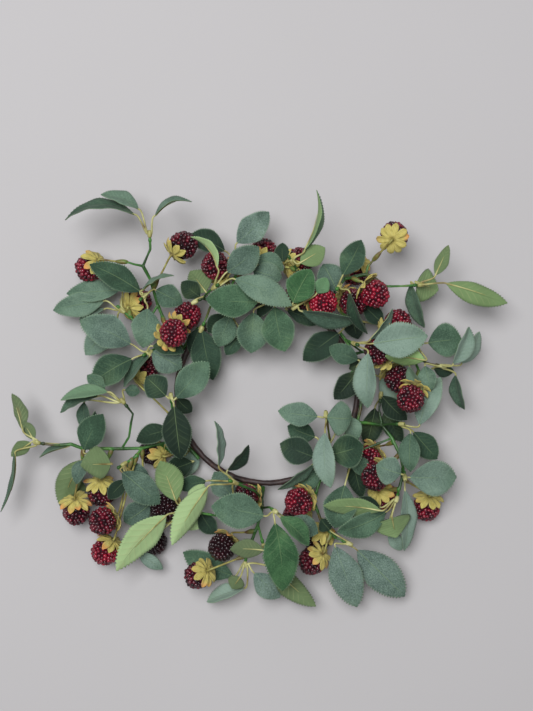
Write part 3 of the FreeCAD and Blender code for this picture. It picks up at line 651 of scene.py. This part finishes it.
# A petiole out of its collar, over to its leaf and on as the midrib, as (point, radius)
def petiolePath(blade, start, way):
    look = sprigSettings
    radius = look["petioleRadius"]
    under = -blade["upper"]
    reach = blade["foot"] - start
    outward = reach - way * (reach @ way)
    distance = np.linalg.norm(outward)
    outward = outward / max(distance, 1e-5)
    rise = min(look["rise"], 0.25 * np.linalg.norm(reach))
    up, out, wider = look["inCollar"]
    path = [(start + way * up + outward * out, radius * wider)]
    up, out, wider = look["collarTop"]
    path.append((start + way * (up + rise * 0.3) + outward * out, radius * wider))
    if reach @ way > look["bowFrom"]:   # a petiole that turns back leaves the collar without this bow
        up, out, wider = look["bow"]
        path.append((start + way * (up + rise) + outward * min(out, distance * 0.4), radius * wider))
    back, down = look["beforeFoot"]
    path.append((blade["foot"] - blade["along"] * back + under * down, radius))
    for share in look["midribShares"]:
        thin = radius * (1 - share / look["midribShares"][-1]) * 0.9 + look["midribEnd"]
        path.append((onBlade(blade, share) + under * (look["midribDepth"] + thin * 0.2), thin))
    return path


sleevePoints, sleeveFaces = turnedPattern(sprigSettings["sleeve"], sprigSettings["sleeveSides"])
tipPoints, tipFaces = turnedPattern(sprigSettings["pegTip"], sprigSettings["pegTipSides"])

petiolePieces, sleevePieces, tipPieces = {}, {}, {}
for spray in sprayNames:
    pegs = pegsOf("stem_" + spray)
    frames = cornersOf("sprig_frames_" + spray)
    pegOfFrame = []
    for corners in frames:
        aways = [nearest(corners, start + way * sprigSettings["collarMiddle"]) for start, way in pegs]
        pegOfFrame.append(int(np.argmin(aways)))
    paths = []
    for blade in blades[spray]:
        share, depth = sprigSettings["seat"]
        seat = onBlade(blade, share) - blade["upper"] * depth
        own = int(np.argmin([nearest(corners, seat) for corners in frames]))
        paths.append(petiolePath(blade, *pegs[pegOfFrame[own]]))
    petiolePieces[spray] = tubes("petioles_" + spray, paths)
    sleevePieces[spray] = copiesPiece("sprigSleeves_" + spray, sleeveFaces,
                                      [standAt(start, way, sleevePoints) for start, way in pegs])
    # the swollen end of the peg shows between the petioles
    tipPieces[spray] = copiesPiece("pegTips_" + spray, tipFaces,
                                   [standAt(start, way, tipPoints) for start, way in pegs])
    print("sprigs", spray, "pegs", len(pegs), "frames", len(frames), "leaves", len(paths))


# Stems: the moulded branches, rounded from the CAD rods

stemSettings = {
    "weld": 0.000001,
    "voxel": 0.00036,
    "smoothing": 6,
    "smoothFactor": 0.5,
    "fuller": 0.0001,             # makes up for what smoothing takes off
    "knobs": 0.0005,
    "knobSize": 0.006,
}

knobTexture = bpy.data.textures.new("knobs", "CLOUDS")
knobTexture.noise_scale = stemSettings["knobSize"]

stemPieces = {}
for spray in sprayNames:
    piece = bpy.data.objects.new("branches_" + spray, nodes["stem_" + spray].data.copy())
    bpy.context.scene.collection.objects.link(piece)
    activate(piece)
    editAll()
    bpy.ops.mesh.remove_doubles(threshold=stemSettings["weld"])
    bpy.ops.object.mode_set(mode="OBJECT")
    remesh = piece.modifiers.new("rounding", "REMESH")
    remesh.mode = "VOXEL"
    remesh.voxel_size = stemSettings["voxel"]
    smooth = piece.modifiers.new("smoothing", "SMOOTH")
    smooth.iterations = stemSettings["smoothing"]
    smooth.factor = stemSettings["smoothFactor"]
    fuller = piece.modifiers.new("fuller", "DISPLACE")
    fuller.strength = stemSettings["fuller"]
    fuller.mid_level = 0
    knobs = piece.modifiers.new("knobs", "DISPLACE")
    knobs.texture = knobTexture
    knobs.texture_coords = "LOCAL"
    knobs.strength = stemSettings["knobs"]
    finishModifiers(piece)
    bpy.ops.object.shade_smooth()
    stemPieces[spray] = piece
print("stems rounded")


# Berries: drupelets in staggered rings on a solid core

berrySettings = {
    "radius": 0.0075,
    "halfLength": 0.0078,
    "openAngle": 148,             # degrees, from the calyx end
    "drupelet": 0.0014,
    "dome": (7, 6),               # segments and rings
    "domeCut": -0.25,
    "core": (20, 12),
    "ringStep": 1.56,             # drupelets' radii
    "sideStep": 1.08,             # of the step between rings
    "taller": 1.15,
    "drupelets": {                # drawn for each drupelet of the pattern
        "turn": (-0.045, 0.045),
        "tilt": (-0.14, 0.14),
        "depth": (0.955, 1.035),
        "size": (0.8, 1.14),
        "long": (0.9, 1.1),
        "wide": (0.9, 1.1),
        "number": (0, 1),
    },
    "whole": {                    # drawn for each berry
        "spin": (0, nearlyTurn),
        "long": (0.97, 1.03),
        "wide": (0.97, 1.03),
    },
    "fromCalyx": 0.0005,          # outwards from the middle of the CAD body
    "tableGap": 0.00005,
    "middleReach": 8,             # pixels from a berry's middle to its place in berryTones
    "ripeness": (0.15, 0.45),     # of the berries that berryTones leaves out
    "ripeSpread": 0.5,
}


def unitSphere(segments, rings):
    deselect()
    bpy.ops.mesh.primitive_uv_sphere_add(segments=segments, ring_count=rings, radius=1, location=(0, 0, 0))
    return bpy.context.object


# A low dome, open below, of a few dozen faces
def drupeletPattern():
    piece = unitSphere(*berrySettings["dome"])
    editAll()
    bpy.ops.mesh.bisect(plane_co=(0, 0, berrySettings["domeCut"]), plane_no=(0, 0, 1), clear_inner=True)
    bpy.ops.object.mode_set(mode="OBJECT")
    return takeMesh(piece)


# The berry along Z, calyx end first: points, faces, each drupelet's number, and 1 in the gaps between
# them, where shade is painted
def berryPattern():
    look = berrySettings
    domePoints, domeFaces = drupeletPattern()
    radii = (look["radius"], look["radius"], look["halfLength"])
    sets, numbers = [], []
    step = look["drupelet"] * look["ringStep"] / look["radius"]
    rings = int(math.radians(look["openAngle"]) / step)
    for ring in range(rings + 1):
        girth = 2 * math.pi * math.sin(ring * step)
        count = max(1, round(girth / (step * look["sideStep"])))
        for k in range(count):
            own = drawn(look["drupelets"])
            turn = 2 * math.pi * (k + (ring % 2) / 2) / count + own["turn"]
            angle = ring * step + own["tilt"] * step
            outward = np.array((math.sin(angle) * math.cos(turn), math.sin(angle) * math.sin(turn),
                                math.cos(angle)))
            radius = look["drupelet"] * own["size"]
            dome = domePoints * (radius * own["long"], radius * own["wide"], radius * look["taller"])
            sets.append(standAt(outward * radii * own["depth"], outward, dome))
            numbers.append(np.full(len(domePoints), own["number"]))
    corePoints, coreFaces = takeMesh(unitSphere(*look["core"]))
    faces = repeatFaces(domeFaces, len(domePoints), len(sets))
    faces += [tuple(v + len(sets) * len(domePoints) for v in face) for face in coreFaces]
    points = np.concatenate(sets + [corePoints * radii])
    number = np.concatenate(numbers + [np.zeros(len(corePoints))])
    # the low part of each dome and the core count as gap, where painted shade darkens the colour between
    # drupelets
    domeGap = 1 - np.clip((domePoints[:, 2] + 0.2) / 0.9, 0, 1)   # from the dome's height
    gap = np.concatenate([np.tile(domeGap, len(sets)), np.ones(len(corePoints))])
    return points, faces, number, gap, len(sets)


berryPoints, berryFaces, berryNumbers, berryGaps, drupeletCount = berryPattern()

# Ripeness of single berries, found by the pixel of the middle
berryTones = {
    0.6: [(322.5, 302)],
    0.48: [(374.6, 293.5), (105.5, 551), (384, 496)],
    0.38: [(423, 508), (189, 316), (167, 335)],
    0.28: [(411, 398), (216, 266)],
    0.14: [(398, 378), (194, 575)],
    -0.15: [(162, 507), (153, 452), (153, 541), (222, 546), (318, 538)],
}


def ripenessOf(middle):
    for ripe, places in berryTones.items():
        for place in places:
            if np.linalg.norm(pixelOf(middle) - place) < berrySettings["middleReach"]:
                return ripe
    return chance.uniform(*berrySettings["ripeness"])


# Calyxes: sepals round the hub, cupped over the berry

calyxSettings = {
    "sepals": 10,
    "radius": 0.0108,
    "halfWidth": 0.0024,
    "thickness": 0.0003,
    "columns": 8,
    "rows": 4,
    "outline": [(0.0, 0.5), (0.25, 0.62), (0.5, 0.88), (0.7, 1.0), (0.86, 0.86), (0.95, 0.55), (1.0, 0.2)],
    "fromHub": 0.05,              # share of the radius at which a sepal starts
    "overHub": 0.0006,
    "cup": 0.0036,
    "cupPower": 1.8,
    "shorter": 0.25,              # radians that the tip leans in
    "lift": 0.00022,              # every other sepal lies over its neighbours
    "tip": 0.0006,
    "tipFrom": 0.8,
    "bends": {                    # drawn for each sepal
        "turn": (-0.18, 0.18),
        "reach": (0.86, 1.04),
        "cup": (0.35, 1.25),
        "crease": (0.2, 0.6),
        "tip": (-6, 6),
        "orange": (0, 1),
    },
}


# A flat sepal from the hub at the origin
def sepalBlade(look, along, across, width):
    x = (look["fromHub"] + (1 - look["fromHub"]) * along) * look["radius"]
    return x, across * width * look["halfWidth"]


sepalPoints, sepalFaces = sheetPattern(calyxSettings, sepalBlade)
sepalUv = np.stack([sepalPoints[:, 0] / calyxSettings["radius"],
                    sepalPoints[:, 1] / calyxSettings["halfWidth"] / 2 + 0.5], axis=1)


# The sepals of one calyx, each bent its own way towards the berry, and each one's orange share
def openCalyx(hub, way):
    look = calyxSettings
    sets, orange = [], []
    share = sepalPoints[:, 0] / look["radius"]
    for k in range(look["sepals"]):
        own = drawn(look["bends"])
        turn = 2 * math.pi * (k + own["turn"]) / look["sepals"]
        x = sepalPoints[:, 0] * own["reach"] * np.cos(look["shorter"] * share)
        y = sepalPoints[:, 1]
        z = sepalPoints[:, 2] + look["cup"] * own["cup"] * share ** look["cupPower"]
        z = z - own["crease"] * np.abs(y) + (k % 2) * look["lift"]
        z = z + look["tip"] * np.clip(share - look["tipFrom"], 0, 1) * own["tip"]
        turned = np.stack([x * math.cos(turn) - y * math.sin(turn),
                           x * math.sin(turn) + y * math.cos(turn), z], axis=1)
        sets.append(standAt(hub, way, turned))
        orange.append(np.full(len(turned), own["orange"]))
    return sets, orange


# Stalks and the spindles that they are plugged in

stalkSettings = {
    "radius": 0.00062,
    "inSpindle": (0.001, 1.1),    # depth, share of the radius
    "middle": 0.35,
    "beforeCalyx": (0.002, 0.3),  # at most, and at most as a share of the length
    "inCalyx": [(0.0004, 1.3), (0.0009, 1.6)],
    "spindle": [(-0.0048, 0.0007), (-0.004, 0.00115), (-0.0026, 0.00155), (-0.0006, 0.0016),
                (0.0014, 0.0013), (0.0028, 0.00095), (0.0034, 0.0007)],
    "spindleSides": 12,
}

spindlePoints, spindleFaces = turnedPattern(stalkSettings["spindle"], stalkSettings["spindleSides"])


# The middles of a rod's two ends
def endsOf(corners):
    gaps = np.linalg.norm(corners[:, None] - corners[None, :], axis=2)
    a, b = np.unravel_index(gaps.argmax(), gaps.shape)
    run = unit(corners[b] - corners[a])
    places = (corners - corners[a]) @ run
    first = corners[places < places.mean()].mean(axis=0)
    second = corners[places >= places.mean()].mean(axis=0)
    return first, second


# A stalk from its spindle to the calyx, which it enters along the berry's own direction
def stalkPath(spindle, calyx, way):
    look = stalkSettings
    radius = look["radius"]
    length = np.linalg.norm(calyx - spindle)
    run = unit(calyx - spindle)
    back, wider = look["inSpindle"]
    most, share = look["beforeCalyx"]
    path = [(spindle - run * back, radius * wider),
            (spindle + run * length * look["middle"], radius),
            (calyx - way * min(most, length * share), radius)]
    for deep, wider in look["inCalyx"]:
        path.append((calyx + way * deep, radius * wider))
    return path


def aboveTable(points):
    points[:, 2] = np.maximum(points[:, 2], berrySettings["tableGap"])
    return points


berryPieces, calyxPieces, stalkPieces, spindlePieces = {}, {}, {}, {}
for spray in sprayNames:
    calyxes = cornersOf("calyxes_" + spray)
    stalks = [endsOf(corners) for corners in cornersOf("stalks_" + spray)]
    berrySets, ripeness, sepalSets, sepalOrange, stalkPaths, spindleSets = [], [], [], [], [], []
    for corners in cornersOf("berries_" + spray):
        star = min(calyxes, key=lambda c: np.linalg.norm(c.mean(axis=0) - corners.mean(axis=0)))
        way = unit(corners.mean(axis=0) - star.mean(axis=0))
        back = star[np.argmin((star - star.mean(axis=0)) @ way)]   # the hub's outer point
        way = unit(corners.mean(axis=0) - back)
        places = (corners - back) @ way
        middle = back + way * ((places.max() + places.min()) / 2 + berrySettings["fromCalyx"])
        own = drawn(berrySettings["whole"])
        turned = berryPoints @ np.array(Matrix.Rotation(own["spin"], 3, "Z")).T
        berrySets.append(aboveTable(standAt(middle, way, turned * (own["long"], own["wide"], 1))))
        ripeness.append(ripenessOf(middle) + (berryNumbers - 0.5) * berrySettings["ripeSpread"])
        sets, orange = openCalyx(back + way * calyxSettings["overHub"], way)
        sepalSets += [aboveTable(sepal) for sepal in sets]
        sepalOrange += orange
        stalk = min(stalks, key=lambda ends: min(np.linalg.norm(end - back) for end in ends))
        calyxEnd, spindleEnd = sorted(stalk, key=lambda end: np.linalg.norm(end - back))
        stalkPaths.append(stalkPath(spindleEnd, calyxEnd, way))
        spindleSets.append(standAt(spindleEnd, unit(calyxEnd - spindleEnd), spindlePoints))
    marks = {"ripeness": np.concatenate(ripeness), "core": np.tile(berryGaps, len(berrySets))}
    berryPieces[spray] = copiesPiece("berryDrupelets_" + spray, berryFaces, berrySets, marks)
    calyxPieces[spray] = copiesPiece("calyxSepals_" + spray, sepalFaces, sepalSets,
                                     {"orange": np.concatenate(sepalOrange)}, sepalUv)
    stalkPieces[spray] = tubes("berryStalks_" + spray, stalkPaths)
    spindlePieces[spray] = copiesPiece("stalkSpindles_" + spray, spindleFaces, spindleSets)
print("berries set, drupelets in each:", drupeletCount)


# Ring: wound tape on the wire

ringSettings = {
    "radius": 0.0585,
    "tube": 0.00192,
    "level": 0.012,
    "runs": 368,
    "sides": 16,
    "turns": 46,
    "lap": 0.00022,
    "lapPower": 3,
    "lapSunk": 0.4,               # share of the lap that lies below the tube's radius
    "lapTurn": 6.28318,           # a hair under 2 pi keeps points off the wrap of a lap
    "wobbles": [(0.00012, 17, 2, 0), (0.00008, 41, 0, 1)],   # height, waves round, lean, phase
}

deselect()
bpy.ops.mesh.primitive_torus_add(major_segments=ringSettings["runs"], minor_segments=ringSettings["sides"],
                                 major_radius=ringSettings["radius"], minor_radius=ringSettings["tube"],
                                 location=(0, 0, 0))
ring = bpy.context.object
ring.name = "woundTape"
ringPoints = pointsOf(ring)
turn = np.arctan2(ringPoints[:, 1], ringPoints[:, 0])
flat = np.stack([np.cos(turn), np.sin(turn), np.zeros(len(turn))], axis=1)
spoke = ringPoints - flat * ringSettings["radius"]
roll = np.arctan2(spoke[:, 2], (spoke * flat).sum(axis=1))
lap = (turn * ringSettings["turns"] / ringSettings["lapTurn"] + roll / ringSettings["lapTurn"]) % 1
wobble = sum(height * np.sin(turn * waves + roll * lean + phase)
             for height, waves, lean, phase in ringSettings["wobbles"])
lapHeight = ringSettings["lap"] * (lap ** ringSettings["lapPower"] - ringSettings["lapSunk"])
thick = ringSettings["tube"] + lapHeight + wobble
ringPoints = flat * ringSettings["radius"] + spoke / ringSettings["tube"] * thick[:, None]
ringPoints[:, 2] += ringSettings["level"]
ring.data.vertices.foreach_set("co", ringPoints.ravel())
lapMark = ring.data.attributes.new("lap", "FLOAT", "POINT")
lapMark.data.foreach_set("value", lap.astype(np.float32))
bpy.ops.object.shade_smooth()
print("ring wound")


# Finishes

leafLook = {
    "mottle": 85,                 # the scales of the noises
    "patches": 38,
    "grain": 1500,
    "weave": 1350,
    # the last share is painted shade: each leaf is darkened towards its foot
    "shadeShares": (0.5, 0.42, 0.9, 0.12),   # of mottle, patches, grain and the leaf's foot
    "upper": [(0.0, (24, 38, 29)), (0.32, (48, 72, 55)), (0.62, (78, 106, 85)), (1.0, (116, 140, 117))],
    "fresh": ((26, 68, 34), (80, 128, 74)),
    "bluish": ((60, 80, 76), (142, 163, 153)),
    "patch": (104, 124, 74),
    "speck": (164, 184, 182),
    "vein": (140, 166, 122),
    "edge": (146, 172, 142),
    "midrib": (134, 160, 112),
    "under": [(0.0, (84, 97, 70)), (0.45, (114, 133, 96)), (1.0, (160, 186, 134))],
    "underFresh": (114, 158, 80),
    "underVein": (168, 176, 128),
    "underPatch": (150, 122, 84),
    "veins": 9,
    "veinLean": 0.2,
    "veinWidth": (0.02, 0.13),
    "midribWidth": (0.008, 0.034),
    "midribLength": (0.36, 0.4),   # least, and the most that it grows by
    "rough": (0.64, 0.18, 0.08),   # at least, and from the grain and the mottle
    "relief": (0.75, 0.0004),
}

leafFinish = Finish("wovenLeaf", Specular_IOR_Level=0.22, Sheen_Weight=0.06, Sheen_Roughness=0.5)
alongLeaf, acrossUv = leafFinish.uvPlace()
acrossLeaf = abs(acrossUv - 0.5) * 2
tone = leafFinish.mark("tone")
bloom = leafFinish.mark("bloom")
warmth = leafFinish.mark("warmth")
edge = leafFinish.mark("edge")
underside = leafFinish.mark("under").step(0.45, 0.55)
mottle = leafFinish.noise(leafLook["mottle"], 3.0)
patches = leafFinish.noise(leafLook["patches"])
grain = leafFinish.noise(leafLook["grain"], rough=0.65)
weave = leafFinish.noise(leafLook["weave"], 1.0, rough=0.4)

# side veins run outwards and forwards from the midrib, and fade towards the edge
veinPlace = alongLeaf - acrossLeaf ** 0.8 * leafLook["veinLean"] + (mottle - 0.5) * 0.03
veinAway = abs((veinPlace * leafLook["veins"]).share() - 0.5)
vein = 1 - veinAway.step(*leafLook["veinWidth"])
vein = vein * acrossLeaf.step(0.02, 0.1) * (1 - edge.step(0.6, 0.95)) * alongLeaf.step(0.04, 0.16)
vein = vein * patches.step(0.36, 0.62)
ribShare = (tone * 23).share()   # another number for each leaf
least, more = leafLook["midribLength"]
midrib = 1 - acrossLeaf.step(*leafLook["midribWidth"])
midrib = midrib * (1 - (alongLeaf - (least + ribShare * more)).step(0.0, 0.24)) * (0.45 + ribShare * 0.55)

mottleShare, patchShare, grainShare, paintedFootShade = leafLook["shadeShares"]
shade = tone + (mottle - 0.5) * mottleShare + (patches - 0.5) * patchShare + (grain - 0.5) * grainShare
# painted shade: each leaf is darker towards its foot
shade = (shade - (1 - alongLeaf.step(0.0, 0.4)) * paintedFootShade).step(-0.25, 1.25)
upper = leafFinish.ramp(shade, leafLook["upper"])
fresh = leafFinish.mix((shade + (mottle - 0.5) * 0.3).step(0.1, 1.0), *leafLook["fresh"])
upper = leafFinish.mix(warmth * 0.9, upper, fresh)
upper = leafFinish.mix(patches.step(0.55, 0.75) * 0.22, upper, leafLook["patch"])
bluish = leafFinish.mix(shade.step(0.1, 0.9), *leafLook["bluish"])
upper = leafFinish.mix(bloom * (0.72 - alongLeaf.step(0.55, 1.0) * 0.35), upper, bluish)
specks = leafFinish.mark("specks") * weave.step(0.35, 0.75) * (0.2 + patches * 0.4)
upper = leafFinish.mix(specks, upper, leafLook["speck"])
upper = leafFinish.mix(vein * (0.06 + warmth * 0.18), upper, leafLook["vein"])
upper = leafFinish.mix(edge.step(0.9, 1.03) * 0.38, upper, leafLook["edge"])
upper = leafFinish.mix(midrib * 0.5, upper, leafLook["midrib"])

underShade = (leafFinish.mark("pale") + (mottle - 0.5) * 0.3 + (grain - 0.5) * 0.3).step(-0.1, 1.1)
under = leafFinish.ramp(underShade, leafLook["under"])
under = leafFinish.mix(warmth * 0.7, under, leafLook["underFresh"])
under = leafFinish.mix(vein * 0.3, under, leafLook["underVein"])
underPatches = patches.step(0.58, 0.78) * (1 - acrossLeaf.step(0.05, 0.3)) * 0.4
under = leafFinish.mix(underPatches, under, leafLook["underPatch"])

leafFinish.feed("Base Color", leafFinish.mix(underside, upper, under))
leafFinish.rough(leafLook["rough"], grain, mottle)
quilt = 1 - (1 - veinAway * 2) ** 3
leafFinish.bump(quilt * 0.4 + grain * 0.4 + weave * 0.2 + mottle * 0.8 - midrib * 0.9, *leafLook["relief"])

# Moulded plastic and wire: noise gives the colour, and a finer one, where there is one, the roughness
plasticLooks = {
    "palePetiole": {
        "noise": 130, "fine": 900, "rough": (0.36, 0.2), "fineRelief": 0.3, "relief": (0.25, 0.0003),
        "stops": [(0.3, (118, 102, 58)), (0.47, (158, 156, 96)), (0.72, (198, 197, 140))],
    },
    "greenStem": {
        "noise": 75, "fine": 700, "rough": (0.34, 0.25), "fineRelief": 0.4, "relief": (0.35, 0.0004),
        "stops": [(0.3, (24, 42, 18)), (0.44, (36, 72, 28)), (0.58, (56, 112, 42)), (0.75, (98, 148, 70))],
        "brown": (48, (0.56, 0.68), 0.75, (92, 66, 38)),   # scale, from and to, share, colour
    },
    "brownedSocket": {
        "noise": 210, "rough": (0.4, 0.2), "relief": (0.3, 0.0004),
        "stops": [(0.3, (84, 50, 34)), (0.48, (112, 104, 52)), (0.62, (96, 124, 60))],
    },
    "oliveStalk": {
        "noise": 160, "rough": (0.42, 0.16), "relief": (0.25, 0.0003),
        "stops": [(0.3, (96, 72, 38)), (0.5, (138, 130, 66)), (0.7, (176, 178, 104))],
    },
}


def plasticFinish(name):
    look = plasticLooks[name]
    finish = Finish(name)
    noise = finish.noise(look["noise"], 3.0)
    fine = finish.noise(look["fine"]) if "fine" in look else noise
    height = noise + fine * look["fineRelief"] if "fine" in look else noise
    colour = finish.ramp(noise, look["stops"])
    if "brown" in look:
        scale, span, share, brown = look["brown"]
        colour = finish.mix(finish.noise(scale).step(*span) * share, colour, brown)
    finish.feed("Base Color", colour)
    finish.rough(look["rough"], fine)
    finish.bump(height, *look["relief"])
    return finish


berryLook = {
    "noise": 420,
    "stops": [(0.0, (28, 3, 12)), (0.2, (64, 5, 23)), (0.45, (106, 8, 34)), (0.74, (150, 14, 44)),
              (1.0, (186, 30, 60))],
    # colour of the painted shade in the gaps between drupelets
    "gap": (34, 3, 13),
    "paintedGapShade": 0.9,
    "coat": 0.75,
    "rough": (0.3, 0.14, 0.4),    # at least, and from the noise and the gaps
    "relief": (0.12, 0.0003),
}

berryFinish = Finish("glossyDrupelet", Specular_IOR_Level=0.3, Coat_Roughness=0.14, Coat_IOR=1.5)
berryGap = berryFinish.mark("core")
berryNoise = berryFinish.noise(berryLook["noise"])
berryColour = berryFinish.ramp(berryFinish.mark("ripeness") + (berryNoise - 0.5) * 0.5, berryLook["stops"])
# painted shade: the gaps between drupelets and the core are darkened towards the gap colour
paintedGapShade = berryGap.step(0.24, 1.0) * berryLook["paintedGapShade"]
berryFinish.feed("Base Color", berryFinish.mix(paintedGapShade, berryColour, berryLook["gap"]))
berryFinish.feed("Coat Weight", (1 - berryGap.step(0.1, 0.6)) * berryLook["coat"])
berryFinish.rough(berryLook["rough"], berryNoise, berryGap)
berryFinish.bump(berryNoise, *berryLook["relief"])

calyxLook = {
    "noise": 330,
    "ribs": 5,
    "stops": [(0.0, (120, 106, 52)), (0.45, (184, 172, 94)), (1.0, (216, 206, 134))],
    "orange": (214, 132, 76),
    "hub": (112, 96, 42),
    "rough": (0.62, 0.2),
    "relief": (0.5, 0.0003),
}

calyxFinish = Finish("mustardCalyx", Specular_IOR_Level=0.25, Sheen_Weight=0.1)
alongSepal, acrossSepal = calyxFinish.uvPlace()
ribs = abs((acrossSepal * calyxLook["ribs"]).share() - 0.5) * 2
calyxNoise = calyxFinish.noise(calyxLook["noise"], 3.0)
# Colour from noise and rib stripes: partly the calyx's own mottle, partly painted shade, since the dark
# low stop stands for the shadow between the sepals.
calyxColour = calyxFinish.ramp(calyxNoise * 0.8 + ribs * 0.3 - 0.05, calyxLook["stops"])
orangeShare = calyxFinish.mark("orange").step(0.6, 0.95) * alongSepal.step(0.55, 1.0) * 0.75
calyxColour = calyxFinish.mix(orangeShare, calyxColour, calyxLook["orange"])
calyxColour = calyxFinish.mix((1 - alongSepal.step(0.08, 0.32)) * 0.55, calyxColour, calyxLook["hub"])
calyxFinish.feed("Base Color", calyxColour)
calyxFinish.rough(calyxLook["rough"], calyxNoise)
calyxFinish.bump(ribs * 0.7 + calyxNoise * 0.5, *calyxLook["relief"])

tapeLook = {
    "noise": 260,
    "fine": 1400,
    "stops": [(0.28, (27, 16, 16)), (0.5, (46, 28, 27)), (0.75, (80, 56, 50))],
    "lapShare": 0.18,
    "rough": (0.42, 0.25),
    "relief": (0.5, 0.0004),
}

tapeFinish = Finish("brownTape")
tapeNoise = tapeFinish.noise(tapeLook["noise"], 4.0)
tapeFine = tapeFinish.noise(tapeLook["fine"])
tapeShade = tapeNoise * 0.8 + tapeFinish.mark("lap") * tapeLook["lapShare"]
tapeFinish.feed("Base Color", tapeFinish.ramp(tapeShade, tapeLook["stops"]))
tapeFinish.rough(tapeLook["rough"], tapeFine)
tapeFinish.bump(tapeNoise * 0.7 + tapeFine * 0.3, *tapeLook["relief"])

wireLook = {"noise": 900, "stops": [(0.3, (120, 118, 114)), (0.7, (168, 166, 162))], "rough": (0.3, 0.2)}

wireFinish = Finish("drawnWire", Metallic=1.0)
wireNoise = wireFinish.noise(wireLook["noise"])
wireFinish.feed("Base Color", wireFinish.ramp(wireNoise, wireLook["stops"]))
wireFinish.rough(wireLook["rough"], wireNoise)
nodes["ring_wire"].data.materials.clear()
nodes["ring_wire"].data.materials.append(wireFinish.material)

petioleFinish = plasticFinish("palePetiole")
stemFinish = plasticFinish("greenStem")
socketFinish = plasticFinish("brownedSocket")
stalkFinish = plasticFinish("oliveStalk")


def dress(piece, finish, nodeName):
    piece.data.materials.clear()
    piece.data.materials.append(finish.material)
    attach(piece, "root")
    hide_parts(nodeName)


for spray in sprayNames:
    dress(leafPieces[spray], leafFinish, "leaves_" + spray)
    dress(petiolePieces[spray], petioleFinish, "sprig_frames_" + spray)
    dress(sleevePieces[spray], petioleFinish, "sprig_frames_" + spray)
    dress(stemPieces[spray], stemFinish, "stem_" + spray)
    dress(tipPieces[spray], stemFinish, "stem_" + spray)
    dress(berryPieces[spray], berryFinish, "berries_" + spray)
    dress(calyxPieces[spray], calyxFinish, "calyxes_" + spray)
    dress(stalkPieces[spray], stalkFinish, "stalks_" + spray)
    dress(spindlePieces[spray], socketFinish, "stem_" + spray)
dress(ring, tapeFinish, "ring_tape")
print("finishes given")


# Floor, light and world

studio = {
    "floorSize": 6,
    "floorLevel": -0.0002,
    "floorColours": ((188, 186, 188), (178, 176, 176)),
    "floorNoise": 6,
    "lampPower": 25.5,
    "lampSize": 0.85,
    "lampPlace": (-0.28, 0.36, 1.55),
    "worldStrength": 0.26,
}

deselect()
bpy.ops.mesh.primitive_plane_add(size=studio["floorSize"], location=(0, 0, studio["floorLevel"]))
floor = bpy.context.object
floor.name = "studioFloor"
floorFinish = Finish("palePaper", Roughness=0.9, Specular_IOR_Level=0.1)
floorFinish.feed("Base Color", floorFinish.mix(floorFinish.noise(studio["floorNoise"], 3.0) * 0.35,
                                               *studio["floorColours"]))
floor.data.materials.append(floorFinish.material)

world = bpy.data.worlds.new("studioAir")
bpy.context.scene.world = world
world.use_nodes = True
world.node_tree.nodes["Background"].inputs["Color"].default_value = (1, 1, 1, 1)
world.node_tree.nodes["Background"].inputs["Strength"].default_value = studio["worldStrength"]

lampData = bpy.data.lights.new("softbox", "AREA")
lampData.shape = "SQUARE"
lampData.size = studio["lampSize"]
lampData.energy = studio["lampPower"]
lamp = bpy.data.objects.new("softbox", lampData)
lamp.location = studio["lampPlace"]
lamp.rotation_mode = "QUATERNION"
lamp.rotation_quaternion = (-lamp.location).to_track_quat("-Z", "Y")   # towards the origin
bpy.context.scene.collection.objects.link(lamp)

bpy.context.scene.view_settings.view_transform = "Standard"

print("scene ready")
